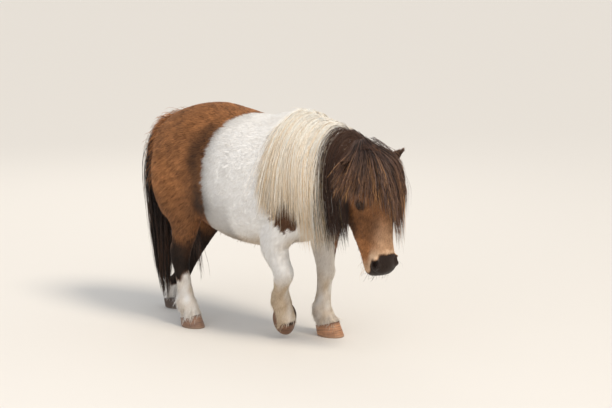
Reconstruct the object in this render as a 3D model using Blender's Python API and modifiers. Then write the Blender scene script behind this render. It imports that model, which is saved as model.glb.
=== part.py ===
"""A life-size museum model of a Shetland pony, walking, with its right forefoot lifted.

Metres. +X is forward, +Y is the pony's left and +Z is up. The body is first modelled whole, from
tables of sections, and then parted with thin cuts where a person would name its parts. The mane,
forelock, tail and feather are flat, tapered locks that fall over the body from their roots and are
fused into the part that they grow from. All the tables are measured from the floor below the
withers; the last step moves every part, so that the middle of the pony's box is the origin.
"""

import math
import random

import bmesh
import bpy
import numpy as np
from mathutils import Matrix, Vector
from mathutils.bvhtree import BVHTree

# Driving dimensions
HAIR_SEED = 17
GAP = 0.0003  # left between parts that meet
WELD = 1.5e-6  # points nearer than this become one
MIDDLE = Vector((-0.1394, -0.0002, 0.0))  # the middle of the pony's box, from below the withers
FLESH_TRIANGLES = 4500
TRUNK_SAVING = 850  # triangles taken from the broad trunk

# Torso: distance forward of the withers, top, bottom, half width, height of the widest place
TORSO = [
    (-0.728, 0.785, 0.655, 0.040, 0.720),
    (-0.712, 0.835, 0.605, 0.085, 0.720),
    (-0.675, 0.881, 0.550, 0.132, 0.723),
    (-0.600, 0.927, 0.510, 0.178, 0.727),
    (-0.500, 0.957, 0.475, 0.208, 0.713),
    (-0.400, 0.967, 0.433, 0.224, 0.685),
    (-0.300, 0.952, 0.402, 0.236, 0.655),
    (-0.200, 0.935, 0.385, 0.240, 0.635),
    (-0.100, 0.935, 0.384, 0.231, 0.623),
    (0.000, 0.943, 0.405, 0.208, 0.620),
    (0.100, 0.930, 0.427, 0.182, 0.627),
    (0.180, 0.875, 0.457, 0.155, 0.635),
    (0.235, 0.785, 0.497, 0.120, 0.635),
    (0.266, 0.695, 0.555, 0.060, 0.625),
]

# Neck: x, y, z of its middle line, half depth and half width
NECK = [
    (-0.060, 0.000, 0.707, 0.232, 0.150),
    (0.060, 0.000, 0.720, 0.228, 0.140),
    (0.160, -0.006, 0.733, 0.203, 0.116),
    (0.250, -0.018, 0.743, 0.170, 0.100),
    (0.330, -0.034, 0.740, 0.136, 0.090),
    (0.395, -0.050, 0.727, 0.104, 0.080),
]

# Legs: x, y, z of the middle line, half length fore and aft, half width
FORELEG_LEFT = [
    (0.090, 0.105, 0.625, 0.120, 0.062),
    (0.070, 0.120, 0.545, 0.110, 0.064),
    (0.052, 0.128, 0.465, 0.086, 0.060),
    (0.050, 0.130, 0.405, 0.065, 0.053),
    (0.054, 0.127, 0.350, 0.051, 0.045),
    (0.062, 0.122, 0.307, 0.042, 0.039),
    (0.067, 0.120, 0.273, 0.042, 0.039),
    (0.061, 0.120, 0.233, 0.035, 0.033),
    (0.056, 0.120, 0.183, 0.034, 0.031),
    (0.050, 0.120, 0.135, 0.040, 0.035),
    (0.047, 0.120, 0.106, 0.048, 0.042),
    (0.064, 0.120, 0.079, 0.043, 0.041),
    (0.077, 0.120, 0.049, 0.050, 0.044),
    (0.086, 0.120, 0.018, 0.050, 0.044),
]
FORELEG_RIGHT = [
    (0.080, -0.105, 0.625, 0.120, 0.062),
    (0.050, -0.125, 0.545, 0.110, 0.066),
    (0.018, -0.138, 0.475, 0.088, 0.062),
    (0.006, -0.142, 0.415, 0.066, 0.055),
    (0.016, -0.138, 0.367, 0.053, 0.047),
    (0.030, -0.133, 0.333, 0.045, 0.042),
    (0.038, -0.128, 0.297, 0.045, 0.042),
    (0.014, -0.108, 0.257, 0.036, 0.034),
    (-0.012, -0.080, 0.217, 0.035, 0.032),
    (-0.031, -0.060, 0.185, 0.043, 0.039),
    (-0.034, -0.054, 0.161, 0.047, 0.043),
    (-0.022, -0.052, 0.127, 0.042, 0.040),
    (-0.012, -0.050, 0.091, 0.043, 0.043),
    (-0.006, -0.049, 0.072, 0.042, 0.043),
]
HINDLEG_RIGHT = [
    (-0.545, -0.085, 0.805, 0.120, 0.075),
    (-0.540, -0.115, 0.725, 0.145, 0.084),
    (-0.528, -0.132, 0.635, 0.148, 0.080),
    (-0.505, -0.144, 0.560, 0.128, 0.075),
    (-0.482, -0.152, 0.500, 0.098, 0.066),
    (-0.485, -0.150, 0.435, 0.068, 0.053),
    (-0.505, -0.142, 0.370, 0.051, 0.042),
    (-0.524, -0.136, 0.313, 0.049, 0.039),
    (-0.521, -0.133, 0.253, 0.038, 0.034),
    (-0.512, -0.130, 0.193, 0.035, 0.031),
    (-0.505, -0.128, 0.137, 0.041, 0.035),
    (-0.505, -0.127, 0.109, 0.049, 0.042),
    (-0.485, -0.126, 0.079, 0.043, 0.040),
    (-0.476, -0.125, 0.049, 0.046, 0.041),
    (-0.468, -0.125, 0.018, 0.045, 0.040),
]
HINDLEG_LEFT = [
    (-0.545, 0.085, 0.805, 0.120, 0.075),
    (-0.545, 0.115, 0.725, 0.145, 0.084),
    (-0.545, 0.132, 0.635, 0.148, 0.080),
    (-0.545, 0.144, 0.560, 0.128, 0.075),
    (-0.555, 0.150, 0.500, 0.096, 0.066),
    (-0.588, 0.146, 0.435, 0.068, 0.053),
    (-0.625, 0.138, 0.370, 0.051, 0.042),
    (-0.663, 0.130, 0.313, 0.049, 0.039),
    (-0.690, 0.123, 0.253, 0.038, 0.034),
    (-0.720, 0.115, 0.193, 0.035, 0.031),
    (-0.753, 0.108, 0.137, 0.041, 0.035),
    (-0.770, 0.104, 0.107, 0.049, 0.042),
    (-0.772, 0.101, 0.079, 0.043, 0.041),
    (-0.780, 0.098, 0.049, 0.046, 0.041),
    (-0.778, 0.097, 0.018, 0.045, 0.040),
]

# Muscle and bone that round the form out: centre, half sizes, turn about Y in degrees
BULGES = [
    ((-0.600, 0.085, 0.745), (0.100, 0.080, 0.150), 0),  # buttocks
    ((-0.600, -0.085, 0.745), (0.100, 0.080, 0.150), 0),
    ((-0.430, 0.118, 0.835), (0.130, 0.075, 0.080), 0),  # hips
    ((-0.430, -0.118, 0.835), (0.130, 0.075, 0.080), 0),
    ((0.095, 0.098, 0.730), (0.110, 0.070, 0.165), -22),  # shoulder blades
    ((0.095, -0.098, 0.730), (0.110, 0.070, 0.165), -22),
    ((0.190, 0.078, 0.600), (0.075, 0.062, 0.100), 0),  # points of the shoulders
    ((0.190, -0.078, 0.600), (0.075, 0.062, 0.100), 0),
    ((0.010, 0.000, 0.895), (0.160, 0.075, 0.060), 0),  # withers
    ((-0.556, -0.136, 0.337), (0.022, 0.020, 0.045), 12),  # points of the hocks
    ((-0.696, 0.130, 0.343), (0.022, 0.020, 0.045), 30),
]

# Head: the poll, how far the face turns right, drops and rolls, and its sections. A section is the
# distance from the poll to the muzzle, the front of the face, the jaw's edge, the half width at the
# brow and the half width at the jaw.
POLL = Vector((0.448, -0.066, 0.823))
HEAD_TURN, HEAD_DROP, HEAD_ROLL = 18.0, 82.0, 3.0
HEAD = [
    (-0.028, -0.035, -0.115, 0.040, 0.040),
    (0.000, 0.000, -0.150, 0.070, 0.066),
    (0.045, 0.024, -0.182, 0.088, 0.078),
    (0.100, 0.036, -0.203, 0.096, 0.082),
    (0.155, 0.039, -0.216, 0.096, 0.084),
    (0.205, 0.036, -0.222, 0.088, 0.081),
    (0.250, 0.029, -0.218, 0.077, 0.075),
    (0.290, 0.021, -0.201, 0.068, 0.066),
    (0.330, 0.014, -0.182, 0.062, 0.060),
    (0.370, 0.008, -0.158, 0.060, 0.054),
    (0.410, 0.005, -0.138, 0.062, 0.053),
    (0.440, -0.002, -0.130, 0.062, 0.052),
    (0.462, -0.016, -0.122, 0.054, 0.046),
    (0.474, -0.038, -0.106, 0.036, 0.032),
]
# Rounding of the head on each side, in its own frame: place, half sizes
HEAD_BULGES = [
    ((0.150, -0.008, 0.078), (0.034, 0.022, 0.020)),  # brow
    ((0.200, -0.138, 0.053), (0.085, 0.075, 0.031)),  # cheek
    ((0.275, -0.052, 0.056), (0.060, 0.012, 0.014)),  # crest of the cheek bone
    ((0.428, -0.022, 0.045), (0.028, 0.022, 0.016)),  # wing of the nostril
    ((0.432, -0.112, 0.012), (0.024, 0.018, 0.020)),  # chin
]

# Eyes: where a line from the side meets the skin, how deep the ball sits, its radius, its lids
EYE_AT, EYE_DEEP, EYE_RADIUS = (0.190, -0.034), 0.0095, 0.0180
LIDS = ((34, 88), (-28, 83))  # of the upper and the lower: how far it is open, how far round it goes
LID_THICK, LID_SLANT = 0.0036, 20.0

# Nostrils, in the head's frame, and the mouth's line
NOSTRIL_AT, NOSTRIL_HALF = (0.432, -0.018, 0.059), (0.0175, 0.0075, 0.0150)
MOUTH_FRONT, MOUTH_CORNER, MOUTH_THICK = (0.474, -0.072), (0.398, -0.084), 0.0024

# Ears: where each grows in the head's frame, which way it points and which way its cup opens
EAR_LENGTH, EAR_WIDE = 0.100, 0.027
EAR_AT = (0.058, -0.052, 0.082)
EAR_POINTS = {"left": (0.25, 0.80, 0.56), "right": (0.10, -0.86, 0.42)}

# Hooves: length of the sole, its width, and the heights of the toe and the heel at the hair line
HOOF_LONG, HOOF_WIDE, TOE_HIGH, HEEL_HIGH = 0.112, 0.096, 0.064, 0.040
HOOF_AROUND = 22  # sides
HOOVES = {  # middle of the sole, heading, size
    "foreleg_left": ((0.100, 0.120, 0.0), 0.0, 1.0),
    "hindleg_right": ((-0.458, -0.125, 0.0), -2.0, 0.90),
    "hindleg_left": ((-0.764, 0.096, 0.0), 4.0, 0.90),
}
LIFTED_HOOF = ((-0.010, -0.048, 0.112), -32.0, 62.0)  # hair line, heading, how far its toe drops

# Tail: x, y, z of its middle line, half depth and half width
TAIL = [
    (-0.690, 0.000, 0.825, 0.026, 0.030),
    (-0.728, -0.001, 0.843, 0.026, 0.030),
    (-0.758, -0.003, 0.808, 0.025, 0.029),
    (-0.768, -0.006, 0.740, 0.022, 0.026),
    (-0.768, -0.008, 0.660, 0.017, 0.020),
    (-0.762, -0.009, 0.590, 0.010, 0.012),
]

# The outside of the fall of tail hair: middle, half depth and half width, from its first roots to its tip
TAIL_FALL = [
    (-0.712, 0.000, 0.846, 0.020, 0.026),
    (-0.752, -0.001, 0.842, 0.026, 0.034),
    (-0.774, -0.003, 0.790, 0.032, 0.046),
    (-0.781, -0.006, 0.700, 0.038, 0.056),
    (-0.771, -0.008, 0.590, 0.042, 0.062),
    (-0.759, -0.010, 0.460, 0.041, 0.060),
    (-0.747, -0.014, 0.340, 0.036, 0.052),
    (-0.735, -0.020, 0.230, 0.028, 0.042),
    (-0.723, -0.026, 0.140, 0.018, 0.030),
    (-0.713, -0.030, 0.066, 0.008, 0.014),
]

# Locks: how many, how long, how wide and deep, and how far the root is sunk
LOCK_WIDTHS = ([0, 0.25, 0.6, 0.85, 1], [0.55, 1.0, 1.0, 0.6, 0])
LOCK_DEPTHS = ([0, 0.3, 0.8, 1], [1.0, 0.9, 0.5, 0])
RIGHT, LEFT = -1, 1
MANE_FROM, MANE_TO = 0.030, 0.412
MANE_COUNT = {RIGHT: 22, LEFT: 9}
MANE_LENGTH = {RIGHT: ([0, 0.15, 0.5, 0.8, 1], [0.42, 0.50, 0.52, 0.50, 0.44]),
               LEFT: ([0, 0.5, 1], [0.24, 0.33, 0.26])}
MANE_LEAN = ([0, 0.2, 0.5, 1], [-0.75, -0.35, -0.05, -0.35])
MANE_RISE = ((0.005, 0.007), (0.012, 0.017), (0.018, 0.027))
MANE_LOCK = (0.054, 0.009, 0.014)
FORELOCK_COUNT = 17
FORELOCK_LENGTH = (0.38, 0.22)  # in the middle, at the sides
FORELOCK_FAN = 1.1
FORELOCK_RISE = ((0.004, 0.006), (0.010, 0.015), (0.016, 0.024))
FORELOCK_LOCK = (0.036, 0.008, 0.012)
TAIL_COUNT = (5, 10)  # inner, outer
TAIL_REACH = (0.62, 1.0)
TAIL_ROOTS = (0.0, 0.40)
TAIL_ENDS = (0.88, 1.0)
TAIL_DEPTH = 0.014
FETLOCK_COUNT, FETLOCK_ROUND, FETLOCK_HIGH, FETLOCK_LENGTH = 4, 70, 0.044, 0.058
FETLOCK_LOCK = (0.026, 0.007, 0.006)
BEARD_COUNT, BEARD_LENGTH = 6, 0.034

# Outlines, seen from the side, of the regions that part the flesh: forward and up
FORELEGS_BELOW = [(-0.10, 0.02), (0.30, 0.02), (0.30, 0.463), (-0.10, 0.363)]
HINDLEGS_BELOW = [(-0.92, 0.02), (-0.24, 0.02), (-0.24, 0.363), (-0.92, 0.545)]
NECK_AHEAD = [(-0.085, 1.10), (-0.045, 0.930), (0.060, 0.825), (0.140, 0.725), (0.235, 0.605),
              (0.290, 0.545), (0.55, 0.50), (0.95, 0.80), (0.95, 1.10)]
# The head's region is drawn in the upright plane that the head is turned to
HEAD_AHEAD = [(-0.050, 0.950), (-0.045, 0.835), (-0.180, 0.735), (-0.212, 0.650), (-0.205, 0.590),
              (-0.192, 0.545), (-0.165, 0.480), (-0.140, 0.275), (0.30, 0.275), (0.30, 0.950)]


def clear_scene():
    for thing in list(bpy.data.objects):
        bpy.data.objects.remove(thing)


def spline_rows(rows, count):
    """A smooth curve through the rows, read at count even places: a Catmull-Rom spline."""
    rows = np.asarray(rows, float)
    padded = np.vstack([2 * rows[0] - rows[1], rows, 2 * rows[-1] - rows[-2]])
    place = np.linspace(0, len(rows) - 1, count)
    left = np.minimum(place.astype(int), len(rows) - 2)
    t = (place - left)[:, None]
    a, b, c, d = (padded[left + k] for k in range(4))
    return 0.5 * (2 * b + (c - a) * t + (2 * a - 5 * b + 4 * c - d) * t**2 + (3 * b - a - 3 * c + d) * t**3)


def unit(vectors):
    return vectors / np.maximum(np.linalg.norm(vectors, axis=-1, keepdims=True), 1e-12)


def mesh_object(name, points, faces):
    mesh = bpy.data.meshes.new(name)
    mesh.from_pydata([tuple(p) for p in points], [], faces)
    mesh.update()
    thing = bpy.data.objects.new(name, mesh)
    bpy.context.scene.collection.objects.link(thing)
    return thing


def loft(name, rings):
    """A closed skin through rings of equal count, each capped by a fan to its middle."""
    count, around = rings.shape[:2]
    points = list(rings.reshape(-1, 3)) + [rings[0].mean(0), rings[-1].mean(0)]
    first, last = count * around, count * around + 1
    faces = []
    for i in range(count - 1):
        for j in range(around):
            k = (j + 1) % around
            faces.append((i * around + j, i * around + k, (i + 1) * around + k, (i + 1) * around + j))
    for j in range(around):
        k = (j + 1) % around
        faces.append((first, k, j))
        faces.append((last, (count - 1) * around + j, (count - 1) * around + k))
    thing = mesh_object(name, points, faces)
    face_outwards(thing)
    return thing


def face_outwards(thing):
    """Triangles that all point out; a bent four sided face would else be split differently later."""
    form = bmesh.new()
    form.from_mesh(thing.data)
    bmesh.ops.triangulate(form, faces=form.faces, quad_method="FIXED", ngon_method="EAR_CLIP")
    bmesh.ops.recalc_face_normals(form, faces=form.faces)
    form.to_mesh(thing.data)
    form.free()


def body_loft(name, table, count=40, around=36, squareness=0.88):
    """Upright sections across the spine: half a rounded arch above the widest place, half below."""
    rows = spline_rows(table, count)
    angle = np.linspace(0, 2 * np.pi, around, endpoint=False)
    side = np.sign(np.sin(angle)) * np.abs(np.sin(angle)) ** squareness
    rise = np.sign(np.cos(angle)) * np.abs(np.cos(angle)) ** squareness
    x, top, bottom, wide, widest = (rows[:, k, None] for k in range(5))
    height = np.where(rise > 0, top - widest, widest - bottom)
    rings = np.stack([x + 0 * side, wide * side, widest + height * rise], axis=-1)
    return loft(name, rings)


def limb_loft(name, table, count=48, around=24):
    """Oval sections square to a bending middle line."""
    rows = spline_rows(table, count)
    middle, fore, wide = rows[:, :3], rows[:, 3, None, None], rows[:, 4, None, None]
    along = unit(np.gradient(middle, axis=0))
    across = unit(np.array([0.0, 1.0, 0.0]) - along * along[:, 1:2])
    front = np.cross(across, along)
    angle = np.linspace(0, 2 * np.pi, around, endpoint=False)[None, :, None]
    rings = middle[:, None] + fore * np.cos(angle) * front[:, None] + wide * np.sin(angle) * across[:, None]
    return loft(name, rings)


def head_axes():
    """The head's own frame as a matrix: down the face, out of the forehead, to the pony's right."""
    turn, drop = math.radians(HEAD_TURN), math.radians(HEAD_DROP)
    ahead = Vector((math.cos(turn), -math.sin(turn), 0))
    down_face = ahead * math.cos(drop) - Vector((0, 0, math.sin(drop)))
    out = ahead * math.sin(drop) + Vector((0, 0, math.cos(drop)))
    frame = Matrix((down_face, out, down_face.cross(out))).transposed()
    tilt = Matrix.Rotation(math.radians(HEAD_ROLL), 3, ahead)
    return Matrix.Translation(POLL) @ (tilt @ frame).to_4x4()


def head_loft(name, count=44, around=32):
    """Sections down the face: broad across the eyes and narrower along the jaw."""
    rows = spline_rows(HEAD, count)
    angle = np.linspace(0, 2 * np.pi, around, endpoint=False)
    side, rise = np.sin(angle), np.cos(angle)
    side = np.sign(side) * np.abs(side) ** 0.8
    down, front, jaw, brow, cheek = (rows[:, k, None] for k in range(5))
    middle, reach = (front + jaw) / 2, (front - jaw) / 2
    wide = np.where(rise > 0, brow, cheek + (brow - cheek) * (1 + rise) ** 1.5)
    local = np.stack([down + 0 * side, middle + reach * rise, wide * side], axis=-1)
    matrix = np.array(head_axes())
    return loft(name, local @ matrix[:3, :3].T + matrix[:3, 3])


def bulge(name, centre, half, turn):
    form = bmesh.new()
    bmesh.ops.create_uvsphere(form, u_segments=16, v_segments=10, radius=1)
    mesh = bpy.data.meshes.new(name)
    form.to_mesh(mesh)
    form.free()
    thing = bpy.data.objects.new(name, mesh)
    bpy.context.scene.collection.objects.link(thing)
    place = Matrix.Translation(centre) @ Matrix.Rotation(math.radians(turn), 4, "Y")
    mesh.transform(place @ Matrix.Diagonal((*half, 1)))
    return thing


def head_bulge(place, half, side):
    thing = bulge("head_bulge", (place[0], place[1], place[2] * side), half, 0)
    thing.data.transform(head_axes())
    return thing


def applied(thing):
    """The object with its modifiers applied."""
    graph = bpy.context.evaluated_depsgraph_get()
    mesh = bpy.data.meshes.new_from_object(thing.evaluated_get(graph))
    thing.modifiers.clear()
    thing.data = mesh
    return thing


def joined(name, things):
    """One mesh from several, still overlapping, with their places applied."""
    form = bmesh.new()
    for thing in things:
        thing.data.transform(thing.matrix_world)
        form.from_mesh(thing.data)
        bpy.data.objects.remove(thing)
    mesh = bpy.data.meshes.new(name)
    form.to_mesh(mesh)
    form.free()
    whole = bpy.data.objects.new(name, mesh)
    bpy.context.scene.collection.objects.link(whole)
    return whole


def grown_together(thing, voxel, rounds, trunk_rounds):
    """The joined pieces as one closed skin; the creases relax more over the broad trunk."""
    remesh = thing.modifiers.new("one_skin", "REMESH")
    remesh.mode = "VOXEL"
    remesh.voxel_size = voxel
    applied(thing)
    trunk = thing.vertex_groups.new(name="trunk")
    for vertex in thing.data.vertices:
        x, y, z = vertex.co
        weight = min(max((z - 0.47) / 0.10, 0), 1) * min(max((0.36 - x) / 0.10, 0), 1)
        trunk.add([vertex.index], weight, "REPLACE")
    relax = thing.modifiers.new("relax", "SMOOTH")
    relax.factor = 0.5
    relax.iterations = rounds
    broad = thing.modifiers.new("relax_trunk", "SMOOTH")
    broad.factor = 0.5
    broad.iterations = trunk_rounds
    broad.vertex_group = "trunk"
    return applied(thing)


def flesh(voxel=0.0065, rounds=8, trunk_rounds=34):
    pieces = [
        body_loft("torso", TORSO),
        limb_loft("neck", NECK),
        limb_loft("foreleg_left", FORELEG_LEFT),
        limb_loft("foreleg_right", FORELEG_RIGHT),
        limb_loft("hindleg_left", HINDLEG_LEFT),
        limb_loft("hindleg_right", HINDLEG_RIGHT),
        head_loft("head"),
    ]
    pieces += [bulge("bulge", centre, half, turn) for centre, half, turn in BULGES]
    pieces += [head_bulge(place, half, side) for place, half in HEAD_BULGES for side in (-1, 1)]
    whole = grown_together(joined("flesh", pieces), voxel, rounds, trunk_rounds)
    for triangles, group in ((FLESH_TRIANGLES, ""), (FLESH_TRIANGLES - TRUNK_SAVING, "trunk")):
        fewer = whole.modifiers.new("fewer", "DECIMATE")
        fewer.ratio = triangles / sum(len(face.vertices) - 2 for face in whole.data.polygons)
        fewer.vertex_group, fewer.vertex_group_factor = group, 1.0
        applied(whole)
    whole.vertex_groups.clear()
    return whole


def prism(name, outline, low, high, frame=Matrix.Identity(4), grow=0.0):
    """A solid with an upright outline, drawn forward and up, between two sideways distances."""
    corners = grown_outline(outline, grow)
    count = len(corners)
    points = [frame @ Vector((x, side, z)) for side in (low, high) for x, z in corners]
    faces = [tuple(range(count)), tuple(range(count, 2 * count))]
    faces += [(k, (k + 1) % count, (k + 1) % count + count, k + count) for k in range(count)]
    thing = mesh_object(name, points, faces)
    face_outwards(thing)
    return thing


def grown_outline(outline, by):
    """The outline with each side moved outwards and the corners mitred."""
    corners = [Vector(c) for c in outline]
    area = sum(a.x * b.y - b.x * a.y for a, b in zip(corners, corners[1:] + corners[:1]))
    turn = 1 if area > 0 else -1
    moved = []
    for before, here, after in zip(corners[-1:] + corners[:-1], corners, corners[1:] + corners[:1]):
        first, second = (here - before).normalized(), (after - here).normalized()
        out_first = Vector((first.y, -first.x)) * turn
        out_second = Vector((second.y, -second.x)) * turn
        middle = (out_first + out_second).normalized()
        moved.append(here + middle * by / max(middle.dot(out_first), 0.2))
    return moved


def combined(thing, other, operation, solver="MANIFOLD"):
    """A Boolean with one other solid, which is used up."""
    step = thing.modifiers.new("combine", "BOOLEAN")
    step.operation, step.solver, step.object = operation, solver, other
    applied(thing)
    bpy.data.objects.remove(other)
    return thing


def copy_of(thing, name):
    twin = thing.copy()
    twin.data = thing.data.copy()
    twin.name = name
    bpy.context.scene.collection.objects.link(twin)
    return twin


def turn_doubled_diagonals(form):
    """Where two flat faces were split along one line, one of them is split the other way."""
    for edge in [e for e in form.edges if len(e.link_faces) > 2]:
        faces = list(edge.link_faces)
        pairs = [(f, g) for i, f in enumerate(faces) for g in faces[i + 1:]]
        first, second = max(pairs, key=lambda pair: pair[0].normal.dot(pair[1].normal))
        loop = next(l for l in first.loops if l.edge == edge)
        start, end = loop.vert, loop.link_loop_next.vert
        near = next(v for v in first.verts if v not in edge.verts)
        far = next(v for v in second.verts if v not in edge.verts)
        bmesh.ops.delete(form, geom=[first, second], context="FACES_ONLY")
        form.faces.new((far, end, near))
        form.faces.new((near, start, far))


def largest_surface(thing):
    """Only the closed surface that encloses the most is kept."""
    form = bmesh.new()
    form.from_mesh(thing.data)
    bmesh.ops.triangulate(form, faces=form.faces, quad_method="FIXED", ngon_method="EAR_CLIP")
    bmesh.ops.remove_doubles(form, verts=form.verts, dist=WELD)
    flaps = {e.link_faces[0] for e in form.edges if len(e.link_faces) == 1}
    flaps = [f for f in flaps if any(len(e.link_faces) > 2 for e in f.edges)]
    bmesh.ops.delete(form, geom=flaps, context="FACES")
    form.normal_update()
    turn_doubled_diagonals(form)
    left, islands = set(form.faces), []
    while left:
        stack, island = [left.pop()], []
        while stack:
            face = stack.pop()
            island.append(face)
            for edge in face.edges:
                for near in edge.link_faces:
                    if near in left:
                        left.remove(near)
                        stack.append(near)
        islands.append(island)

    def enclosed(island):
        return abs(sum(f.verts[0].co.dot(f.verts[1].co.cross(f.verts[2].co)) / 6 for f in island))

    best = set(max(islands, key=enclosed))
    bmesh.ops.delete(form, geom=[f for f in form.faces if f not in best], context="FACES")
    bmesh.ops.delete(form, geom=[v for v in form.verts if not v.link_faces], context="VERTS")
    bmesh.ops.recalc_face_normals(form, faces=form.faces)
    form.to_mesh(thing.data)
    form.free()
    return thing


def parted(whole, name, outline, low, high, frame=Matrix.Identity(4)):
    """The piece inside a region, as a new object; the whole loses it, and a thin gap with it."""
    inside = combined(copy_of(whole, name), prism("inner", outline, low, high, frame), "INTERSECT")
    combined(whole, prism("outer", outline, low, high, frame, grow=GAP), "DIFFERENCE")
    return largest_surface(inside)


def head_plane():
    """The upright plane that the head is turned to, through the poll, with heights kept."""
    turn = Matrix.Rotation(math.radians(-HEAD_TURN), 4, "Z")
    return Matrix.Translation((POLL.x, POLL.y, 0)) @ turn


def hoof_rings(size):
    """Rings of a hoof about its sole's middle, toe forward: ground, edge, wall and hair line."""
    angle = np.linspace(0, 2 * np.pi, HOOF_AROUND, endpoint=False)
    forward, side = np.cos(angle), np.sin(angle)
    outline = np.where(forward < -0.55, -0.55 + 0.35 * (forward + 0.55), forward)  # blunt heel
    high = HEEL_HIGH + (TOE_HIGH - HEEL_HIGH) * (outline + 0.71) / 1.71
    rings = []
    for rise, scale in ((0.0, 0.955), (0.004, 1.0), (0.5, 0.945), (1.0, 0.880)):
        z = high * rise if rise > 0.01 else np.full(HOOF_AROUND, rise)
        x = HOOF_LONG / 1.71 * scale * (outline - 0.145) - (0.020 * rise if rise > 0.01 else 0)
        rings.append(np.stack([x, HOOF_WIDE / 2 * scale * side, z], axis=-1) * size)
    return np.array(rings)


def hoof(leg):
    """A hoof, with the middle of its hair line and that face's direction."""
    if leg == "foreleg_right":
        hair_line, heading, drop = LIFTED_HOOF
        turn = Matrix.Rotation(math.radians(heading), 4, "Z") @ Matrix.Rotation(math.radians(drop), 4, "Y")
        rings = hoof_rings(1.0)
        place = Matrix.Translation(hair_line) @ turn @ Matrix.Translation(-Vector(rings[-1].mean(0)))
    else:
        middle, heading, size = HOOVES[leg]
        rings = hoof_rings(size)
        place = Matrix.Translation(middle) @ Matrix.Rotation(math.radians(heading), 4, "Z")
    thing = loft("hoof_" + leg, rings)
    thing.data.transform(place)
    top, heel = rings[-1], HOOF_AROUND // 2
    slope = math.atan2(top[0, 2] - top[heel, 2], top[0, 0] - top[heel, 0])
    normal = place.to_3x3() @ Vector((-math.sin(slope), 0, math.cos(slope)))
    return thing, place @ Vector(top.mean(0)), normal.normalized()


def trimmed(thing, point, normal):
    """What is left of a body on the side that the normal points to, closed with a flat face."""
    form = bmesh.new()
    form.from_mesh(thing.data)
    cut = bmesh.ops.bisect_plane(form, geom=form.verts[:] + form.edges[:] + form.faces[:],
                                 plane_co=point, plane_no=normal, clear_inner=True)
    rim = [e for e in cut["geom_cut"] if isinstance(e, bmesh.types.BMEdge)]
    bmesh.ops.holes_fill(form, edges=rim, sides=0)
    bmesh.ops.triangulate(form, faces=form.faces, quad_method="FIXED", ngon_method="EAR_CLIP")
    bmesh.ops.recalc_face_normals(form, faces=form.faces)
    form.to_mesh(thing.data)
    form.free()
    return thing


def ball(name, centre, radius, rounds=14):
    form = bmesh.new()
    bmesh.ops.create_uvsphere(form, u_segments=rounds, v_segments=rounds // 2 + 2, radius=radius)
    mesh = bpy.data.meshes.new(name)
    form.to_mesh(mesh)
    form.free()
    mesh.transform(Matrix.Translation(centre))
    thing = bpy.data.objects.new(name, mesh)
    bpy.context.scene.collection.objects.link(thing)
    return thing


def swollen(thing, name, by):
    """A copy pushed outwards along its own normals."""
    twin = copy_of(thing, name)
    twin.modifiers.new("triangles", "TRIANGULATE")
    push = twin.modifiers.new("push", "DISPLACE")
    push.strength, push.mid_level = by, 0.0
    return applied(twin)


def kept_clear(thing, other):
    """What is left of a part outside another part and a thin gap round that."""
    combined(thing, swollen(other, "near", 0.6 * GAP), "DIFFERENCE")
    combined(thing, copy_of(other, "other"), "DIFFERENCE")


def ear(side, head):
    """A pointed cup: a leaf shaped form with a narrower one taken out of its front."""
    frame, mirror = head_axes(), -1 if side == "left" else 1
    root = frame @ Vector((EAR_AT[0], EAR_AT[1], mirror * EAR_AT[2]))
    lean = Vector(EAR_POINTS[side]).normalized()
    opening = (frame.to_3x3() @ Vector((0.25, 1.0, 0.30 * mirror))).normalized()
    opening = (opening - lean * opening.dot(lean)).normalized()
    across = lean.cross(opening)
    shape = [(-0.16, 0.50, 0.50), (0.0, 0.74, 0.74), (0.18, 0.98, 0.90), (0.40, 1.0, 0.80),
             (0.62, 0.80, 0.56), (0.82, 0.46, 0.32), (0.94, 0.22, 0.18), (1.0, 0.08, 0.10)]

    def form(name, rows, shift, thin):
        rows = spline_rows(rows, 8)
        angle = np.linspace(0, 2 * np.pi, 10, endpoint=False)[None, :, None]
        along = rows[:, 0, None, None] * EAR_LENGTH * np.array(lean)
        wide = rows[:, 1, None, None] * EAR_WIDE * np.cos(angle) * np.array(across)
        deep = (rows[:, 2, None, None] * EAR_WIDE * thin * np.sin(angle) + shift) * np.array(opening)
        return loft(name, np.array(root) + along + wide + deep)

    cup = form("ear_" + side, shape, 0.0, 0.62)
    hollow = [(k + 0.10, w * 0.78, d * 0.92) for k, w, d in shape[1:-2]]
    combined(cup, form("hollow", hollow, 0.0105, 0.62), "DIFFERENCE")
    combined(cup, swollen(head, "near", GAP), "DIFFERENCE")
    return largest_surface(cup)


def lock(name, path, wide, thick, sink):
    """A flat tapered lock: four sided rings along a path of (point, outward) pairs, to one tip."""
    points = np.array([list(point) for point, _ in path])
    out = np.array([list(way) for _, way in path])
    along = unit(np.gradient(points, axis=0))
    across = unit(np.cross(along, out))
    out = np.cross(across, along)
    count = len(path)
    t = np.linspace(0, 1, count)
    half_wide = wide / 2 * np.interp(t, *LOCK_WIDTHS)
    half_thick = thick / 2 * np.interp(t, *LOCK_DEPTHS)
    points[0] -= np.array(path[0][1]) * sink
    corners = [across * half_wide[:, None], out * half_thick[:, None]]
    rings = np.stack([points + corners[0], points + corners[1],
                      points - corners[0], points - corners[1]], axis=1)[:-1]
    vertices = list(rings.reshape(-1, 3)) + [points[-1]]
    tip, faces = len(vertices) - 1, [(3, 2, 1, 0)]
    for i in range(count - 2):
        for j in range(4):
            k = (j + 1) % 4
            faces.append((i * 4 + j, i * 4 + k, (i + 1) * 4 + k, (i + 1) * 4 + j))
    last = (count - 2) * 4
    for j in range(4):
        faces.append((last + j, last + (j + 1) % 4, tip))
    thing = mesh_object(name, vertices, faces)
    face_outwards(thing)
    return thing


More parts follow.
